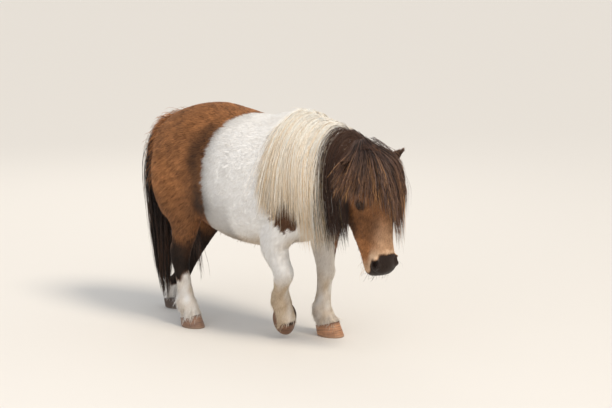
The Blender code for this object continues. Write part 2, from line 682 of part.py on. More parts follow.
def fallen(tree, root, lie, length, rise, rings=6, bend=0.055):
    """A lock's path: it leaves the skin along its lie, bends to the ground and rests on the body.

    Gives pairs of a point and the way out of the body there. rise gives each point's least height
    over the skin, from 0 at the root to 1 at the tip; bend is how far it goes before it hangs.
    """
    surface, normal, _, _ = tree.find_nearest(root)
    here, way = surface + normal * rise(0.0), Vector(lie).normalized()
    fine = 5
    steps = (rings - 1) * fine
    stride = length / steps
    settle = 1 - math.exp(-stride / bend)
    path, out = [(here.copy(), normal.copy())], normal.copy()
    for k in range(1, steps + 1):
        way = (way * (1 - settle) + Vector((0, 0, -1)) * settle).normalized()
        after = here + way * stride
        surface, normal, _, _ = tree.find_nearest(after)
        want = rise(k / steps)
        if (after - surface).dot(normal) < want:
            after = surface + normal * want
        way = (after - here).normalized()
        here = after
        out = (out * 2 + normal).normalized()
        if k % fine == 0:
            path.append((here.copy(), out.copy()))
    return path


def crest_point(tree, x, side=0.0):
    """The top of the neck at a distance forward, found from above."""
    y = float(np.interp(x, [r[0] for r in NECK] + [POLL.x], [r[1] for r in NECK] + [POLL.y]))
    hit, _, _, _ = tree.ray_cast(Vector((x, y + side, 1.4)), Vector((0, 0, -1)))
    return hit


def side_point(tree, down, out, side):
    """Where a line from the side, at a place on the face, meets the skin."""
    frame = head_axes()
    far, near = frame @ Vector((down, out, 0.3 * side)), frame @ Vector((down, out, 0))
    hit, normal, _, _ = tree.ray_cast(far, (near - far).normalized())
    return hit, normal


def eye_parts(side, tree):
    """The ball, a slightly larger one for its socket, and the lids that cross it."""
    mirror = -1 if side == "left" else 1
    hit, normal = side_point(tree, *EYE_AT, mirror)
    centre = hit - normal * EYE_DEEP
    frame = head_axes().to_3x3()
    slant = math.radians(LID_SLANT)
    long = frame @ Vector((math.cos(slant), -math.sin(slant), 0))
    long = (long - normal * long.dot(normal)).normalized()
    up = normal.cross(long) * -mirror
    lids = []
    for tilt, reach in LIDS:
        rows = []
        middle = normal * math.cos(math.radians(tilt)) + up * math.sin(math.radians(tilt))
        for swing in np.linspace(-reach, reach, 8):
            s = math.radians(swing)
            at = centre + (long * math.sin(s) + middle * math.cos(s)) * (EYE_RADIUS + 0.0004)
            thick = LID_THICK * (0.55 + 0.45 * math.cos(s))
            rows.append((*at, thick, thick))
        lids.append(tube("lid", rows, 6))
    eye = ball("eye_" + side, centre, EYE_RADIUS)
    socket = ball("socket", centre, EYE_RADIUS + GAP)
    return eye, socket, lids


def tube(name, rows, around):
    """A rounded tube along a bending line that may lie any way."""
    rows = np.asarray(rows, float)
    middle = rows[:, :3]
    along = unit(np.gradient(middle, axis=0))
    start = np.cross(along, unit(middle.mean(0) - middle[0] + 1e-6))
    across = unit(start - along * (start * along).sum(-1, keepdims=True))
    front = np.cross(along, across)
    angle = np.linspace(0, 2 * np.pi, around, endpoint=False)[None, :, None]
    a, b = rows[:, 3, None, None], rows[:, 4, None, None]
    rings = middle[:, None] + a * np.cos(angle) * front[:, None] + b * np.sin(angle) * across[:, None]
    return loft(name, rings)


def nostril(side):
    """The hollow of a nostril: an oval that leads inwards and up."""
    thing = bulge("nostril", (0, 0, 0), NOSTRIL_HALF, 0)
    lean = Matrix.Rotation(math.radians(32 * side), 4, "X") @ Matrix.Rotation(math.radians(-30), 4, "Z")
    place = Matrix.Translation((NOSTRIL_AT[0], NOSTRIL_AT[1], NOSTRIL_AT[2] * side))
    thing.data.transform(head_axes() @ place @ lean)
    return thing


def mouth():
    """A thin band between the lips, open to the front and the sides."""
    angle = np.linspace(-math.pi / 2, math.pi / 2, 15)
    front, corner = Vector(MOUTH_FRONT), Vector(MOUTH_CORNER)
    rings = []
    for reach, wide in ((0.062, 0.036), (0.110, 0.075)):
        down = corner.x + reach * np.cos(angle)
        out = corner.y + (front.y - corner.y) * np.cos(angle) ** 0.8
        for half in (-1, 1):
            thick = MOUTH_THICK * (0.5 if reach < 0.1 else 1.0)
            rings.append(np.stack([down, out + half * thick / 2, wide * np.sin(angle)], axis=-1))
    inner_low, inner_high, outer_low, outer_high = rings
    around = np.stack([inner_low, inner_high, outer_high, outer_low], axis=1)
    matrix = np.array(head_axes())
    return loft("mouth", around @ matrix[:3, :3].T + matrix[:3, 3])


def spread(low_high, draw):
    """A seeded draw between two named limits."""
    return low_high[0] + (low_high[1] - low_high[0]) * draw.random()


def mane(tree, side, draw):
    """The mane's locks on one side: rooted along the crest, fanned from the withers to the poll."""
    locks = []
    for i in range(MANE_COUNT[side]):
        t = (i + 0.5) / MANE_COUNT[side]
        x = MANE_FROM + (MANE_TO - MANE_FROM) * t
        root = crest_point(tree, x + 0.008 * (draw.random() - 0.5), side * (0.004 + 0.018 * draw.random()))
        layer = i % 3
        length = float(np.interp(t, *MANE_LENGTH[side])) * spread((0.86, 1.06), draw)
        lean = float(np.interp(t, *MANE_LEAN)) + 0.10 * (draw.random() - 0.5)
        low, high = MANE_RISE[layer]

        def rise(k, low=low, high=high):
            return low + (high - low) * min(k * 4, 1)

        path = fallen(tree, root, (lean, side, 0.10), length, rise)
        wide, thick, sink = MANE_LOCK
        locks.append(lock("lock", path, wide * spread((0.85, 1.2), draw), thick, sink))
    return locks


def forelock(tree, draw):
    """The forelock's locks: rooted between the ears, fanned over the brow to both sides."""
    locks, frame = [], head_axes()
    for i in range(FORELOCK_COUNT):
        t = 2 * (i + 0.5) / FORELOCK_COUNT - 1
        t = math.copysign(abs(t) ** 0.9, t)
        back = draw.random()
        root = frame @ Vector((0.030 * back - 0.006, -0.040 - 0.03 * abs(t), 0.050 * t))
        lie = frame.to_3x3() @ Vector((0.25, 1.0 - 0.5 * abs(t), FORELOCK_FAN * t))
        length = FORELOCK_LENGTH[0] + (FORELOCK_LENGTH[1] - FORELOCK_LENGTH[0]) * abs(t) ** 1.4
        low, high = FORELOCK_RISE[i % 3]

        def rise(k, low=low, high=high):
            return low + (high - low) * min(k * 2, 1)

        path = fallen(tree, root, lie, length * spread((0.84, 1.04), draw), rise, bend=0.09)
        wide, thick, sink = FORELOCK_LOCK
        locks.append(lock("lock", path, wide * spread((0.8, 1.15), draw), thick, sink))
    return locks


def tail_locks(tree, draw):
    """Two rounds of locks about the dock, from its root to its end, hanging to the tail's tip."""
    locks = []
    rows = spline_rows(TAIL_FALL, 24)
    for count, most in zip(TAIL_COUNT, TAIL_REACH):
        for i in range(count):
            turn = 2 * math.pi * (i + 0.5 * most) / count
            out = Vector((math.cos(turn), math.sin(turn), 0.0))
            start = TAIL_ROOTS[0] + (TAIL_ROOTS[1] - TAIL_ROOTS[0]) * (i * 0.618 % 1.0)
            end = spread(TAIL_ENDS, draw)
            path, widest = [], 0.0
            for k in np.linspace(0, 1, 8):
                u = start + (end - start) * k
                row = [float(np.interp(u, np.linspace(0, 1, len(rows)), rows[:, c])) for c in range(5)]
                reach = 0.30 + (most - 0.30) * min(k * 3, 1)
                point = Vector(row[:3]) + Vector((out.x * row[3], out.y * row[4], 0)) * reach
                surface, normal, _, _ = tree.find_nearest(point)
                if k > 0 and (point - surface).dot(normal) < TAIL_DEPTH:
                    point = surface + normal * TAIL_DEPTH
                widest = max(widest, math.pi * (row[3] + row[4]) * reach / count)
                path.append((point, out))
            locks.append(lock("lock", path, widest * 1.1, TAIL_DEPTH, 0.0))
    return locks


def fetlock_hair(tree, hair_line, normal, heading, draw):
    """Short locks that hang from the back of the pastern over the heel."""
    locks = []
    for i in range(FETLOCK_COUNT):
        t = 2 * (i + 0.5) / FETLOCK_COUNT - 1
        turn = math.radians(heading + 180 + FETLOCK_ROUND * t)
        out = Vector((math.cos(turn), math.sin(turn), 0))
        root = hair_line + normal * FETLOCK_HIGH * (1 - 0.3 * abs(t)) + out * 0.05
        length = FETLOCK_LENGTH * spread((0.8, 1.1), draw) * (1 - 0.25 * abs(t))
        path = fallen(tree, root, out * 0.2 - normal, length, lambda k: 0.002 + 0.006 * k, rings=4)
        locks.append(lock("lock", path, *FETLOCK_LOCK))
    return locks


def beard(tree, draw):
    """Short locks along the edge of the jaw."""
    locks, frame = [], head_axes()
    for i in range(BEARD_COUNT):
        t = (i + 0.5) / BEARD_COUNT
        root = frame @ Vector((0.20 + 0.14 * t, -0.30, 0.016 * (-1) ** i))
        path = fallen(tree, root, frame.to_3x3() @ Vector((0.5, -1.0, 0)),
                      BEARD_LENGTH * spread((0.7, 1.1), draw), lambda k: 0.001, rings=4)
        locks.append(lock("lock", path, 0.014, 0.006, 0.008))
    return locks


def with_locks(thing, locks):
    """The node with its locks fused to it by one union."""
    group = bpy.data.collections.new("locks")
    bpy.context.scene.collection.children.link(group)
    for piece in locks:
        for holder in list(piece.users_collection):
            holder.objects.unlink(piece)
        group.objects.link(piece)
    step = thing.modifiers.new("fuse", "BOOLEAN")
    step.operation, step.solver = "UNION", "MANIFOLD"
    step.operand_type, step.collection = "COLLECTION", group
    applied(thing)
    for piece in list(group.objects):
        bpy.data.objects.remove(piece)
    bpy.data.collections.remove(group)
    return thing


def coloured(thing, name, colour, roughness):
    """The object with its name, its place in the pony's collection, and a plain material."""
    thing.name = thing.data.name = name
    material = bpy.data.materials.new(name)
    material.use_nodes = True
    surface = material.node_tree.nodes["Principled BSDF"]
    surface.inputs["Base Color"].default_value = (*colour, 1.0)
    surface.inputs["Roughness"].default_value = roughness
    thing.data.materials.clear()
    thing.data.materials.append(material)
    thing.data.shade_smooth()
    thing.data.set_sharp_from_angle(angle=math.radians(50))
    return thing


WHITE, BAY, DARK = (0.78, 0.74, 0.66), (0.30, 0.13, 0.05), (0.035, 0.022, 0.018)
HORN, EYE_COLOUR = (0.32, 0.17, 0.09), (0.012, 0.008, 0.006)


def legs_and_hooves(whole, tree, draw):
    """The legs below the elbow and the stifle, each trimmed to the hair line of its hoof."""
    made = []
    for leg, region in (("foreleg", FORELEGS_BELOW), ("hindleg", HINDLEGS_BELOW)):
        for side, low, high in (("left", 0.0, 0.5), ("right", -0.5, -0.0005)):
            name = leg + "_" + side
            thing = parted(whole, name, region, low, high)
            foot, middle, normal = hoof(name)
            trimmed(thing, middle + normal * GAP, normal)
            heading = LIFTED_HOOF[1] if name == "foreleg_right" else HOOVES[name][1]
            with_locks(thing, fetlock_hair(tree, middle, normal, heading, draw))
            kept_clear(thing, foot)
            made.append(coloured(largest_surface(thing), name, WHITE if leg == "foreleg" else DARK, 0.85))
            made.append(coloured(foot, "hoof_" + name, HORN, 0.6))
    return made


def face(head, tree):
    """Lids, sockets, nostrils and the mouth's line, worked into the head; the eyes are returned."""
    eyes, sockets = [], []
    for side in ("left", "right"):
        eye, socket, lids = eye_parts(side, tree)
        for lid in lids:
            combined(head, lid, "UNION")
        eyes.append(coloured(eye, "eye_" + side, EYE_COLOUR, 0.08))
        sockets.append(socket)
    for socket in sockets:
        combined(head, socket, "DIFFERENCE")
    for side in (-1, 1):
        combined(head, nostril(side), "DIFFERENCE")
    combined(head, mouth(), "DIFFERENCE")
    return eyes


def main():
    clear_scene()
    draw = random.Random(HAIR_SEED)
    whole = flesh()
    tree = BVHTree.FromObject(whole, bpy.context.evaluated_depsgraph_get())
    made = legs_and_hooves(whole, tree, draw)
    head = parted(whole, "head", HEAD_AHEAD, -0.5, 0.5, head_plane())
    neck = parted(whole, "neck", NECK_AHEAD, -0.5, 0.5)
    torso = coloured(largest_surface(whole), "torso", WHITE, 0.85)
    ears = [coloured(ear(side, head), "ear_" + side, DARK, 0.9) for side in ("left", "right")]
    with_locks(head, forelock(tree, draw) + beard(tree, draw))
    made += face(head, tree)
    for cup in ears:
        kept_clear(head, cup)
    with_locks(neck, mane(tree, RIGHT, draw) + mane(tree, LEFT, draw))
    for other in (head, torso, *ears):
        kept_clear(neck, other)
    made.append(coloured(largest_surface(head), "head", BAY, 0.85))
    made.append(coloured(largest_surface(neck), "neck", WHITE, 0.85))
    tail = combined(limb_loft("tail", TAIL, 14, 12), swollen(torso, "near", GAP), "DIFFERENCE")
    with_locks(tail, tail_locks(tree, draw))
    for other in [torso] + [thing for thing in made if "hindleg" in thing.name]:
        kept_clear(tail, other)
    made += [torso, *ears, coloured(largest_surface(tail), "tail", DARK, 0.85)]
    pony = bpy.data.collections.new("shetland_pony")
    bpy.context.scene.collection.children.link(pony)
    for thing in made:
        thing.data.transform(Matrix.Translation(-MIDDLE))
        for holder in list(thing.users_collection):
            holder.objects.unlink(thing)
        pony.objects.link(thing)


if __name__ == "__main__":
    main()
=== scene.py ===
# %% [markdown]
# # A Shetland pony with a fur coat
# The pony stands as in life, 0.96 m high at the withers, with its right forefoot lifted. The packed
# model gives the solid parts and their places. This script dresses them: one skin under the coat,
# the coat itself in small tufts, the long hair in thin locks, and the eyes, ears and hooves.

# %% The frame
import math

import bmesh
import bpy
import numpy as np
from mathutils import Matrix, Vector
from mathutils.bvhtree import BVHTree


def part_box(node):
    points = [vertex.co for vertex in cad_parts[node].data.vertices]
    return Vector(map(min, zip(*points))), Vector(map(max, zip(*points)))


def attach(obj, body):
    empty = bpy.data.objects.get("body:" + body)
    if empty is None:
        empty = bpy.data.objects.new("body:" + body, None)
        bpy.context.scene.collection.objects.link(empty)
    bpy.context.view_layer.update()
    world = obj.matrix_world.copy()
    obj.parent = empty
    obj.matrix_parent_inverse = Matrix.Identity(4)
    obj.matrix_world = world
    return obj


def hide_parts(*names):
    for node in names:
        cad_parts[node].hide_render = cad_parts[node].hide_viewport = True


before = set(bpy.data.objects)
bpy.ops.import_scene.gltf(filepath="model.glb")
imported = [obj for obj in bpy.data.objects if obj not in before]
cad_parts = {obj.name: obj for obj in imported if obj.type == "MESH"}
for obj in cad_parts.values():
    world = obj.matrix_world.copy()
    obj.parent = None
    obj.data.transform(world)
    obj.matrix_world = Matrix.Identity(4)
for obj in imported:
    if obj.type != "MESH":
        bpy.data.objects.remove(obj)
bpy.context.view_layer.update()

draw = np.random.default_rng(20)
MIDDLE = np.array([-0.1394, -0.0002, 0.0])  # the tables start below the withers, the frame does not
print("the frame's nodes:", ", ".join(sorted(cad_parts)))

# %% [markdown]
# ## Helpers
# Shapes are worked out as whole arrays and put into a mesh at once. Colours are written as sRGB hex
# values, as a paint chart gives them, and one function turns them to the linear values that a
# shader needs.


# %% Meshes and colours
def unit(vectors):
    """Each vector divided by its length."""
    return vectors / np.maximum(np.linalg.norm(vectors, axis=-1, keepdims=True), 1e-9)


def mesh_piece(name, points, faces, material=None):
    """A mesh in the frame's own place: points less MIDDLE, and faces of one count of corners."""
    points, faces = np.asarray(points, float).reshape(-1, 3) - MIDDLE, np.asarray(faces)
    mesh = bpy.data.meshes.new(name)
    mesh.vertices.add(len(points))
    mesh.vertices.foreach_set("co", points.ravel().astype(np.float32))
    mesh.loops.add(faces.size)
    mesh.loops.foreach_set("vertex_index", faces.ravel().astype(np.int32))
    mesh.polygons.add(len(faces))
    mesh.polygons.foreach_set("loop_start", np.arange(0, faces.size, faces.shape[1], dtype=np.int32))
    mesh.update(calc_edges=True)
    mesh.shade_smooth()
    piece = bpy.data.objects.new(name, mesh)
    bpy.context.scene.collection.objects.link(piece)
    if material:
        mesh.materials.append(material)
    return piece


def positions(piece):
    """The piece's points as an array, from below the withers."""
    flat = np.empty(len(piece.data.vertices) * 3, np.float32)
    piece.data.vertices.foreach_get("co", flat)
    return flat.reshape(-1, 3).astype(float) + MIDDLE


def put_values(piece, name, values):
    """One number, or one triple, for each point of the mesh, for its material to read."""
    values = np.asarray(values, np.float32)
    kind, key = ("FLOAT", "value") if values.ndim == 1 else ("FLOAT_VECTOR", "vector")
    layer = piece.data.attributes.new(name, kind, "POINT")
    layer.data.foreach_set(key, values.ravel())


def put_map(piece, name, places):
    """A UV map from one place for each point."""
    corners = np.empty(len(piece.data.loops), np.int32)
    piece.data.loops.foreach_get("vertex_index", corners)
    layer = piece.data.uv_layers.new(name=name)
    layer.data.foreach_set("uv", np.asarray(places, np.float32)[corners].ravel())


def grid_faces(rows, around, closed=True):
    """Four cornered faces between neighbours on a grid; closed joins each row's ends."""
    j = np.arange(around if closed else around - 1)
    i = np.arange(rows - 1)[:, None]
    k = (j + 1) % around
    return np.stack([i * around + j, i * around + k, (i + 1) * around + k, (i + 1) * around + j], -1).reshape(-1, 4)


def linear(colour):
    """An sRGB hex colour as the linear values that light adds up in."""
    value = np.array([int(colour[k:k + 2], 16) for k in (1, 3, 5)]) / 255
    return (*np.where(value <= 0.04045, value / 12.92, ((value + 0.055) / 1.055) ** 2.4), 1.0)


def add(material, kind, links=(), **settings):
    """A node with its settings and its links; a setting named by a number is an input."""
    tree = material.node_tree
    node = tree.nodes.new(kind)
    for key, value in settings.items():
        if key.startswith("in_"):
            node.inputs[int(key[3:])].default_value = value
        else:
            setattr(node, key, value)
    for place, source in links:
        tree.links.new(source, node.inputs[place])
    return node


def kept(piece, slot, *nodes):
    """The piece rides on the pony and stands for these nodes, whose solids it hides; slot is not used."""
    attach(piece, "root")
    if nodes:
        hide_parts(*nodes)
    faces = len(piece.data.loops) - 2 * len(piece.data.polygons)
    print(f"{piece.name}: {faces} triangles")
    return piece


# %% [markdown]
# ## Camera, floor and light
# The camera stands where the photographer stood: low, 38 degrees round to the right of the pony's
# side, with a long lens. The floor is plain and pale, and the light is large and soft, with its
# brightest side above and to the right.

# %% Camera
CAMERA_AT = np.array([3.594, -4.530, 1.535]) - MIDDLE
CAMERA_ROUND, CAMERA_DOWN = math.radians(38.0), math.radians(9.5)
IMAGE_WIDE, FOCAL_PIXELS = 612, 1422

camera = bpy.data.objects.new("camera", bpy.data.cameras.new("camera"))
bpy.context.scene.collection.objects.link(camera)
ahead = Vector((-math.sin(CAMERA_ROUND) * math.cos(CAMERA_DOWN),
                math.cos(CAMERA_ROUND) * math.cos(CAMERA_DOWN), -math.sin(CAMERA_DOWN)))
camera.location = CAMERA_AT
camera.rotation_euler = ahead.to_track_quat("-Z", "Y").to_euler()
camera.data.sensor_width = 36.0
camera.data.lens = FOCAL_PIXELS / IMAGE_WIDE * camera.data.sensor_width
camera.data.clip_end = 500
bpy.context.scene.camera = camera
print("the lens is", round(camera.data.lens, 1), "mm")

# %% Floor and light
floor_stuff = bpy.data.materials.new("matt_floor_paint")
floor_stuff.use_nodes = True
surface = floor_stuff.node_tree.nodes["Principled BSDF"]
surface.inputs["Base Color"].default_value = linear("#E5E1DB")
surface.inputs["Roughness"].default_value = 0.9
surface.inputs["Specular IOR Level"].default_value = 0.1
FLOOR_HALF = 120.0
corners = np.array([[-1, -1, 0], [1, -1, 0], [1, 1, 0], [-1, 1, 0]]) * FLOOR_HALF
floor = mesh_piece("floor", corners + MIDDLE, [[0, 1, 2, 3]], floor_stuff)

SUN_FROM, SUN_STRENGTH, SUN_WIDE = (0.68, -0.08, 0.72), 2.0, 18.0  # the way to it; degrees across
LIGHTS = {  # place, size, power, colour
    "light_key": ((2.6, -1.6, 4.2), 3.0, 42, "#FFF6EA"),
    "light_fill": ((0.6, -5.2, 2.4), 4.5, 44, "#EAF1FF"),
    "light_back": ((-3.4, 2.6, 3.6), 3.5, 26, "#FFFAF2"),
}


def put_lamp(name, lamp, place, colour):
    """A lamp at a place, turned towards the pony."""
    lamp.color = linear(colour)[:3]
    holder = bpy.data.objects.new(name, lamp)
    holder.location = place
    holder.rotation_euler = (Vector((0, 0, 0.5)) - Vector(place)).to_track_quat("-Z", "Y").to_euler()
    bpy.context.scene.collection.objects.link(holder)


for name, (place, size, power, colour) in LIGHTS.items():
    lamp = bpy.data.lights.new(name, "AREA")
    lamp.shape, lamp.size, lamp.energy = "DISK", size, power
    put_lamp(name, lamp, place, colour)
sun = bpy.data.lights.new("sun", "SUN")
sun.energy, sun.angle = SUN_STRENGTH, math.radians(SUN_WIDE)
put_lamp("sun", sun, np.array(SUN_FROM) * 5 + (0, 0, 0.5), "#FFF3E2")
world = bpy.data.worlds.new("pale_room")
bpy.context.scene.world = world
world.use_nodes = True
world.node_tree.nodes["Background"].inputs["Color"].default_value = linear("#EFF2F6")
world.node_tree.nodes["Background"].inputs["Strength"].default_value = 0.66
bpy.context.scene.view_settings.view_transform = "Standard"

# %% [markdown]
# ## The body under the coat
# The body is the same body that the solids were cut from: a torso of upright sections, legs and a
# neck of oval sections along bending lines, and a head of sections down the face. Each is a grid
# worked out from a short table, read as a smooth curve. A voxel remesh at 3 mm makes one skin of
# them, as skin grows over muscle and bone, and relaxing it melts the creases. The skin then lies
# inside the solids by the depth of the coat.

# Torso: distance forward of the withers, top, bottom, half width, height of the widest place
TORSO = [
    (-0.728, 0.785, 0.655, 0.040, 0.720),
    (-0.712, 0.835, 0.605, 0.085, 0.720),
    (-0.675, 0.881, 0.550, 0.132, 0.723),
    (-0.600, 0.927, 0.510, 0.178, 0.727),
    (-0.500, 0.957, 0.475, 0.208, 0.713),
    (-0.400, 0.967, 0.433, 0.224, 0.685),
    (-0.300, 0.952, 0.402, 0.236, 0.655),
    (-0.200, 0.935, 0.385, 0.240, 0.635),
    (-0.100, 0.935, 0.384, 0.231, 0.623),
    (0.000, 0.943, 0.405, 0.208, 0.620),
    (0.100, 0.930, 0.427, 0.182, 0.627),
    (0.180, 0.875, 0.457, 0.155, 0.635),
    (0.235, 0.785, 0.497, 0.120, 0.635),
    (0.266, 0.695, 0.555, 0.060, 0.625),
]

# Neck: x, y, z of its middle line, half depth and half width
NECK = [
    (-0.060, 0.000, 0.707, 0.232, 0.150),
    (0.060, 0.000, 0.720, 0.228, 0.140),
    (0.160, -0.006, 0.733, 0.203, 0.116),
    (0.250, -0.018, 0.743, 0.170, 0.100),
    (0.330, -0.034, 0.740, 0.136, 0.090),
    (0.395, -0.050, 0.727, 0.104, 0.080),
]

# Legs: x, y, z of the middle line, half length fore and aft, half width
FORELEG_LEFT = [
    (0.090, 0.105, 0.625, 0.120, 0.062),
    (0.070, 0.120, 0.545, 0.110, 0.064),
    (0.052, 0.128, 0.465, 0.086, 0.060),
    (0.050, 0.130, 0.405, 0.065, 0.053),
    (0.054, 0.127, 0.350, 0.051, 0.045),
    (0.062, 0.122, 0.307, 0.042, 0.039),
    (0.067, 0.120, 0.273, 0.042, 0.039),
    (0.061, 0.120, 0.233, 0.035, 0.033),
    (0.056, 0.120, 0.183, 0.034, 0.031),
    (0.050, 0.120, 0.135, 0.040, 0.035),
    (0.047, 0.120, 0.106, 0.048, 0.042),
    (0.064, 0.120, 0.079, 0.043, 0.041),
    (0.077, 0.120, 0.049, 0.050, 0.044),
    (0.086, 0.120, 0.018, 0.050, 0.044),
]
FORELEG_RIGHT = [
    (0.080, -0.105, 0.625, 0.120, 0.062),
    (0.050, -0.125, 0.545, 0.110, 0.066),
    (0.018, -0.138, 0.475, 0.088, 0.062),
    (0.006, -0.142, 0.415, 0.066, 0.055),
    (0.016, -0.138, 0.367, 0.053, 0.047),
    (0.030, -0.133, 0.333, 0.045, 0.042),
    (0.038, -0.128, 0.297, 0.045, 0.042),
    (0.014, -0.108, 0.257, 0.036, 0.034),
    (-0.012, -0.080, 0.217, 0.035, 0.032),
    (-0.031, -0.060, 0.185, 0.043, 0.039),
    (-0.034, -0.054, 0.161, 0.047, 0.043),
    (-0.022, -0.052, 0.127, 0.042, 0.040),
    (-0.012, -0.050, 0.091, 0.043, 0.043),
    (-0.006, -0.049, 0.072, 0.042, 0.043),
]
HINDLEG_RIGHT = [
    (-0.545, -0.085, 0.805, 0.120, 0.075),
    (-0.540, -0.115, 0.725, 0.145, 0.084),
    (-0.528, -0.132, 0.635, 0.148, 0.080),
    (-0.505, -0.144, 0.560, 0.128, 0.075),
    (-0.482, -0.152, 0.500, 0.098, 0.066),
    (-0.485, -0.150, 0.435, 0.068, 0.053),
    (-0.505, -0.142, 0.370, 0.051, 0.042),
    (-0.524, -0.136, 0.313, 0.049, 0.039),
    (-0.521, -0.133, 0.253, 0.038, 0.034),
    (-0.512, -0.130, 0.193, 0.035, 0.031),
    (-0.505, -0.128, 0.137, 0.041, 0.035),
    (-0.505, -0.127, 0.109, 0.049, 0.042),
    (-0.485, -0.126, 0.079, 0.043, 0.040),
    (-0.476, -0.125, 0.049, 0.046, 0.041),
    (-0.468, -0.125, 0.018, 0.045, 0.040),
]
HINDLEG_LEFT = [
    (-0.545, 0.085, 0.805, 0.120, 0.075),
    (-0.545, 0.115, 0.725, 0.145, 0.084),
    (-0.545, 0.132, 0.635, 0.148, 0.080),
    (-0.545, 0.144, 0.560, 0.128, 0.075),
    (-0.555, 0.150, 0.500, 0.096, 0.066),
    (-0.588, 0.146, 0.435, 0.068, 0.053),
    (-0.625, 0.138, 0.370, 0.051, 0.042),
    (-0.663, 0.130, 0.313, 0.049, 0.039),
    (-0.690, 0.123, 0.253, 0.038, 0.034),
    (-0.720, 0.115, 0.193, 0.035, 0.031),
    (-0.753, 0.108, 0.137, 0.041, 0.035),
    (-0.770, 0.104, 0.107, 0.049, 0.042),
    (-0.772, 0.101, 0.079, 0.043, 0.041),
    (-0.780, 0.098, 0.049, 0.046, 0.041),
    (-0.778, 0.097, 0.018, 0.045, 0.040),
]

# Muscle and bone that round the form out: centre, half sizes, turn about Y in degrees
BULGES = [
    ((-0.600, 0.085, 0.745), (0.100, 0.080, 0.150), 0),  # buttocks
    ((-0.600, -0.085, 0.745), (0.100, 0.080, 0.150), 0),
    ((-0.430, 0.118, 0.835), (0.130, 0.075, 0.080), 0),  # hips
    ((-0.430, -0.118, 0.835), (0.130, 0.075, 0.080), 0),
    ((0.095, 0.098, 0.730), (0.110, 0.070, 0.165), -22),  # shoulder blades
    ((0.095, -0.098, 0.730), (0.110, 0.070, 0.165), -22),
    ((0.190, 0.078, 0.600), (0.075, 0.062, 0.100), 0),  # points of the shoulders
    ((0.190, -0.078, 0.600), (0.075, 0.062, 0.100), 0),
    ((0.010, 0.000, 0.895), (0.160, 0.075, 0.060), 0),  # withers
    ((-0.556, -0.136, 0.337), (0.022, 0.020, 0.045), 12),  # points of the hocks
    ((-0.696, 0.130, 0.343), (0.022, 0.020, 0.045), 30),
]

# Head: the poll, how far the face turns right, drops and rolls, and its sections. A section is the
# distance from the poll to the muzzle, the front of the face, the jaw's edge, the half width at the
# brow and the half width at the jaw.
POLL = np.array([0.448, -0.066, 0.823])
HEAD_TURN, HEAD_DROP, HEAD_ROLL = 18.0, 82.0, 3.0
HEAD = [
    (-0.028, -0.035, -0.115, 0.040, 0.040),
    (0.000, 0.000, -0.150, 0.070, 0.066),
    (0.045, 0.024, -0.182, 0.088, 0.078),
    (0.100, 0.036, -0.203, 0.096, 0.082),
    (0.155, 0.039, -0.216, 0.096, 0.084),
    (0.205, 0.036, -0.222, 0.088, 0.081),
    (0.250, 0.029, -0.218, 0.077, 0.075),
    (0.290, 0.021, -0.201, 0.068, 0.066),
    (0.330, 0.014, -0.182, 0.062, 0.060),
    (0.370, 0.008, -0.158, 0.060, 0.054),
    (0.410, 0.005, -0.138, 0.062, 0.053),
    (0.440, 0.002, -0.130, 0.060, 0.052),
    (0.466, -0.008, -0.124, 0.052, 0.046),
    (0.481, -0.030, -0.108, 0.036, 0.034),
]
# Rounding of the head on each side, in its own frame: place, half sizes
HEAD_BULGES = [
    ((0.150, -0.008, 0.078), (0.034, 0.022, 0.020)),  # brow
    ((0.200, -0.138, 0.053), (0.085, 0.075, 0.031)),  # cheek
    ((0.275, -0.052, 0.056), (0.060, 0.012, 0.014)),  # crest of the cheek bone
    ((0.428, -0.022, 0.045), (0.028, 0.022, 0.016)),  # wing of the nostril
    ((0.432, -0.112, 0.012), (0.024, 0.018, 0.020)),  # chin
]



# %% Sections and lofts
def smooth_rows(rows, count):
    """A curve through the rows read at even places: each point weighs its four nearest rows."""
    rows = np.asarray(rows, float)
    padded = np.vstack([2 * rows[0] - rows[1], rows, 2 * rows[-1] - rows[-2]])
    place = np.linspace(0, len(rows) - 1, count)
    left = np.minimum(place.astype(int), len(rows) - 2)
    t = (place - left)[:, None]
    a, b, c, d = (padded[left + k] for k in range(4))
    return 0.5 * (2 * b + (c - a) * t + (2 * a - 5 * b + 4 * c - d) * t**2 + (3 * b - a - 3 * c + d) * t**3)


def capped(rings):
    """The rings with both ends drawn in to their middles, so that the grid is closed."""
    ends = [np.repeat(rings[k].mean(0)[None], rings.shape[1], 0) for k in (0, -1)]
    return np.concatenate([ends[0][None], rings, ends[1][None]])


def torso_rings(count=60, around=48, squareness=0.88):
    """Half a rounded arch above the widest height and half below: sine across, cosine up."""
    rows = smooth_rows(TORSO, count)
    angle = np.linspace(0, 2 * np.pi, around, endpoint=False)
    side = np.sign(np.sin(angle)) * np.abs(np.sin(angle)) ** squareness
    rise = np.sign(np.cos(angle)) * np.abs(np.cos(angle)) ** squareness
    x, top, bottom, wide, widest = (rows[:, k, None] for k in range(5))
    height = np.where(rise > 0, top - widest, widest - bottom)
    return capped(np.stack([x + 0 * side, wide * side, widest + height * rise], axis=-1))


def limb_rings(table, count=70, around=32):
    """Ovals square to a bending middle line."""
    rows = smooth_rows(table, count)
    middle, fore, wide = rows[:, :3], rows[:, 3, None, None], rows[:, 4, None, None]
    along = unit(np.gradient(middle, axis=0))
    across = unit(np.array([0.0, 1.0, 0.0]) - along * along[:, 1:2])
    front = np.cross(across, along)
    angle = np.linspace(0, 2 * np.pi, around, endpoint=False)[None, :, None]
    return capped(middle[:, None] + fore * np.cos(angle) * front[:, None] + wide * np.sin(angle) * across[:, None])


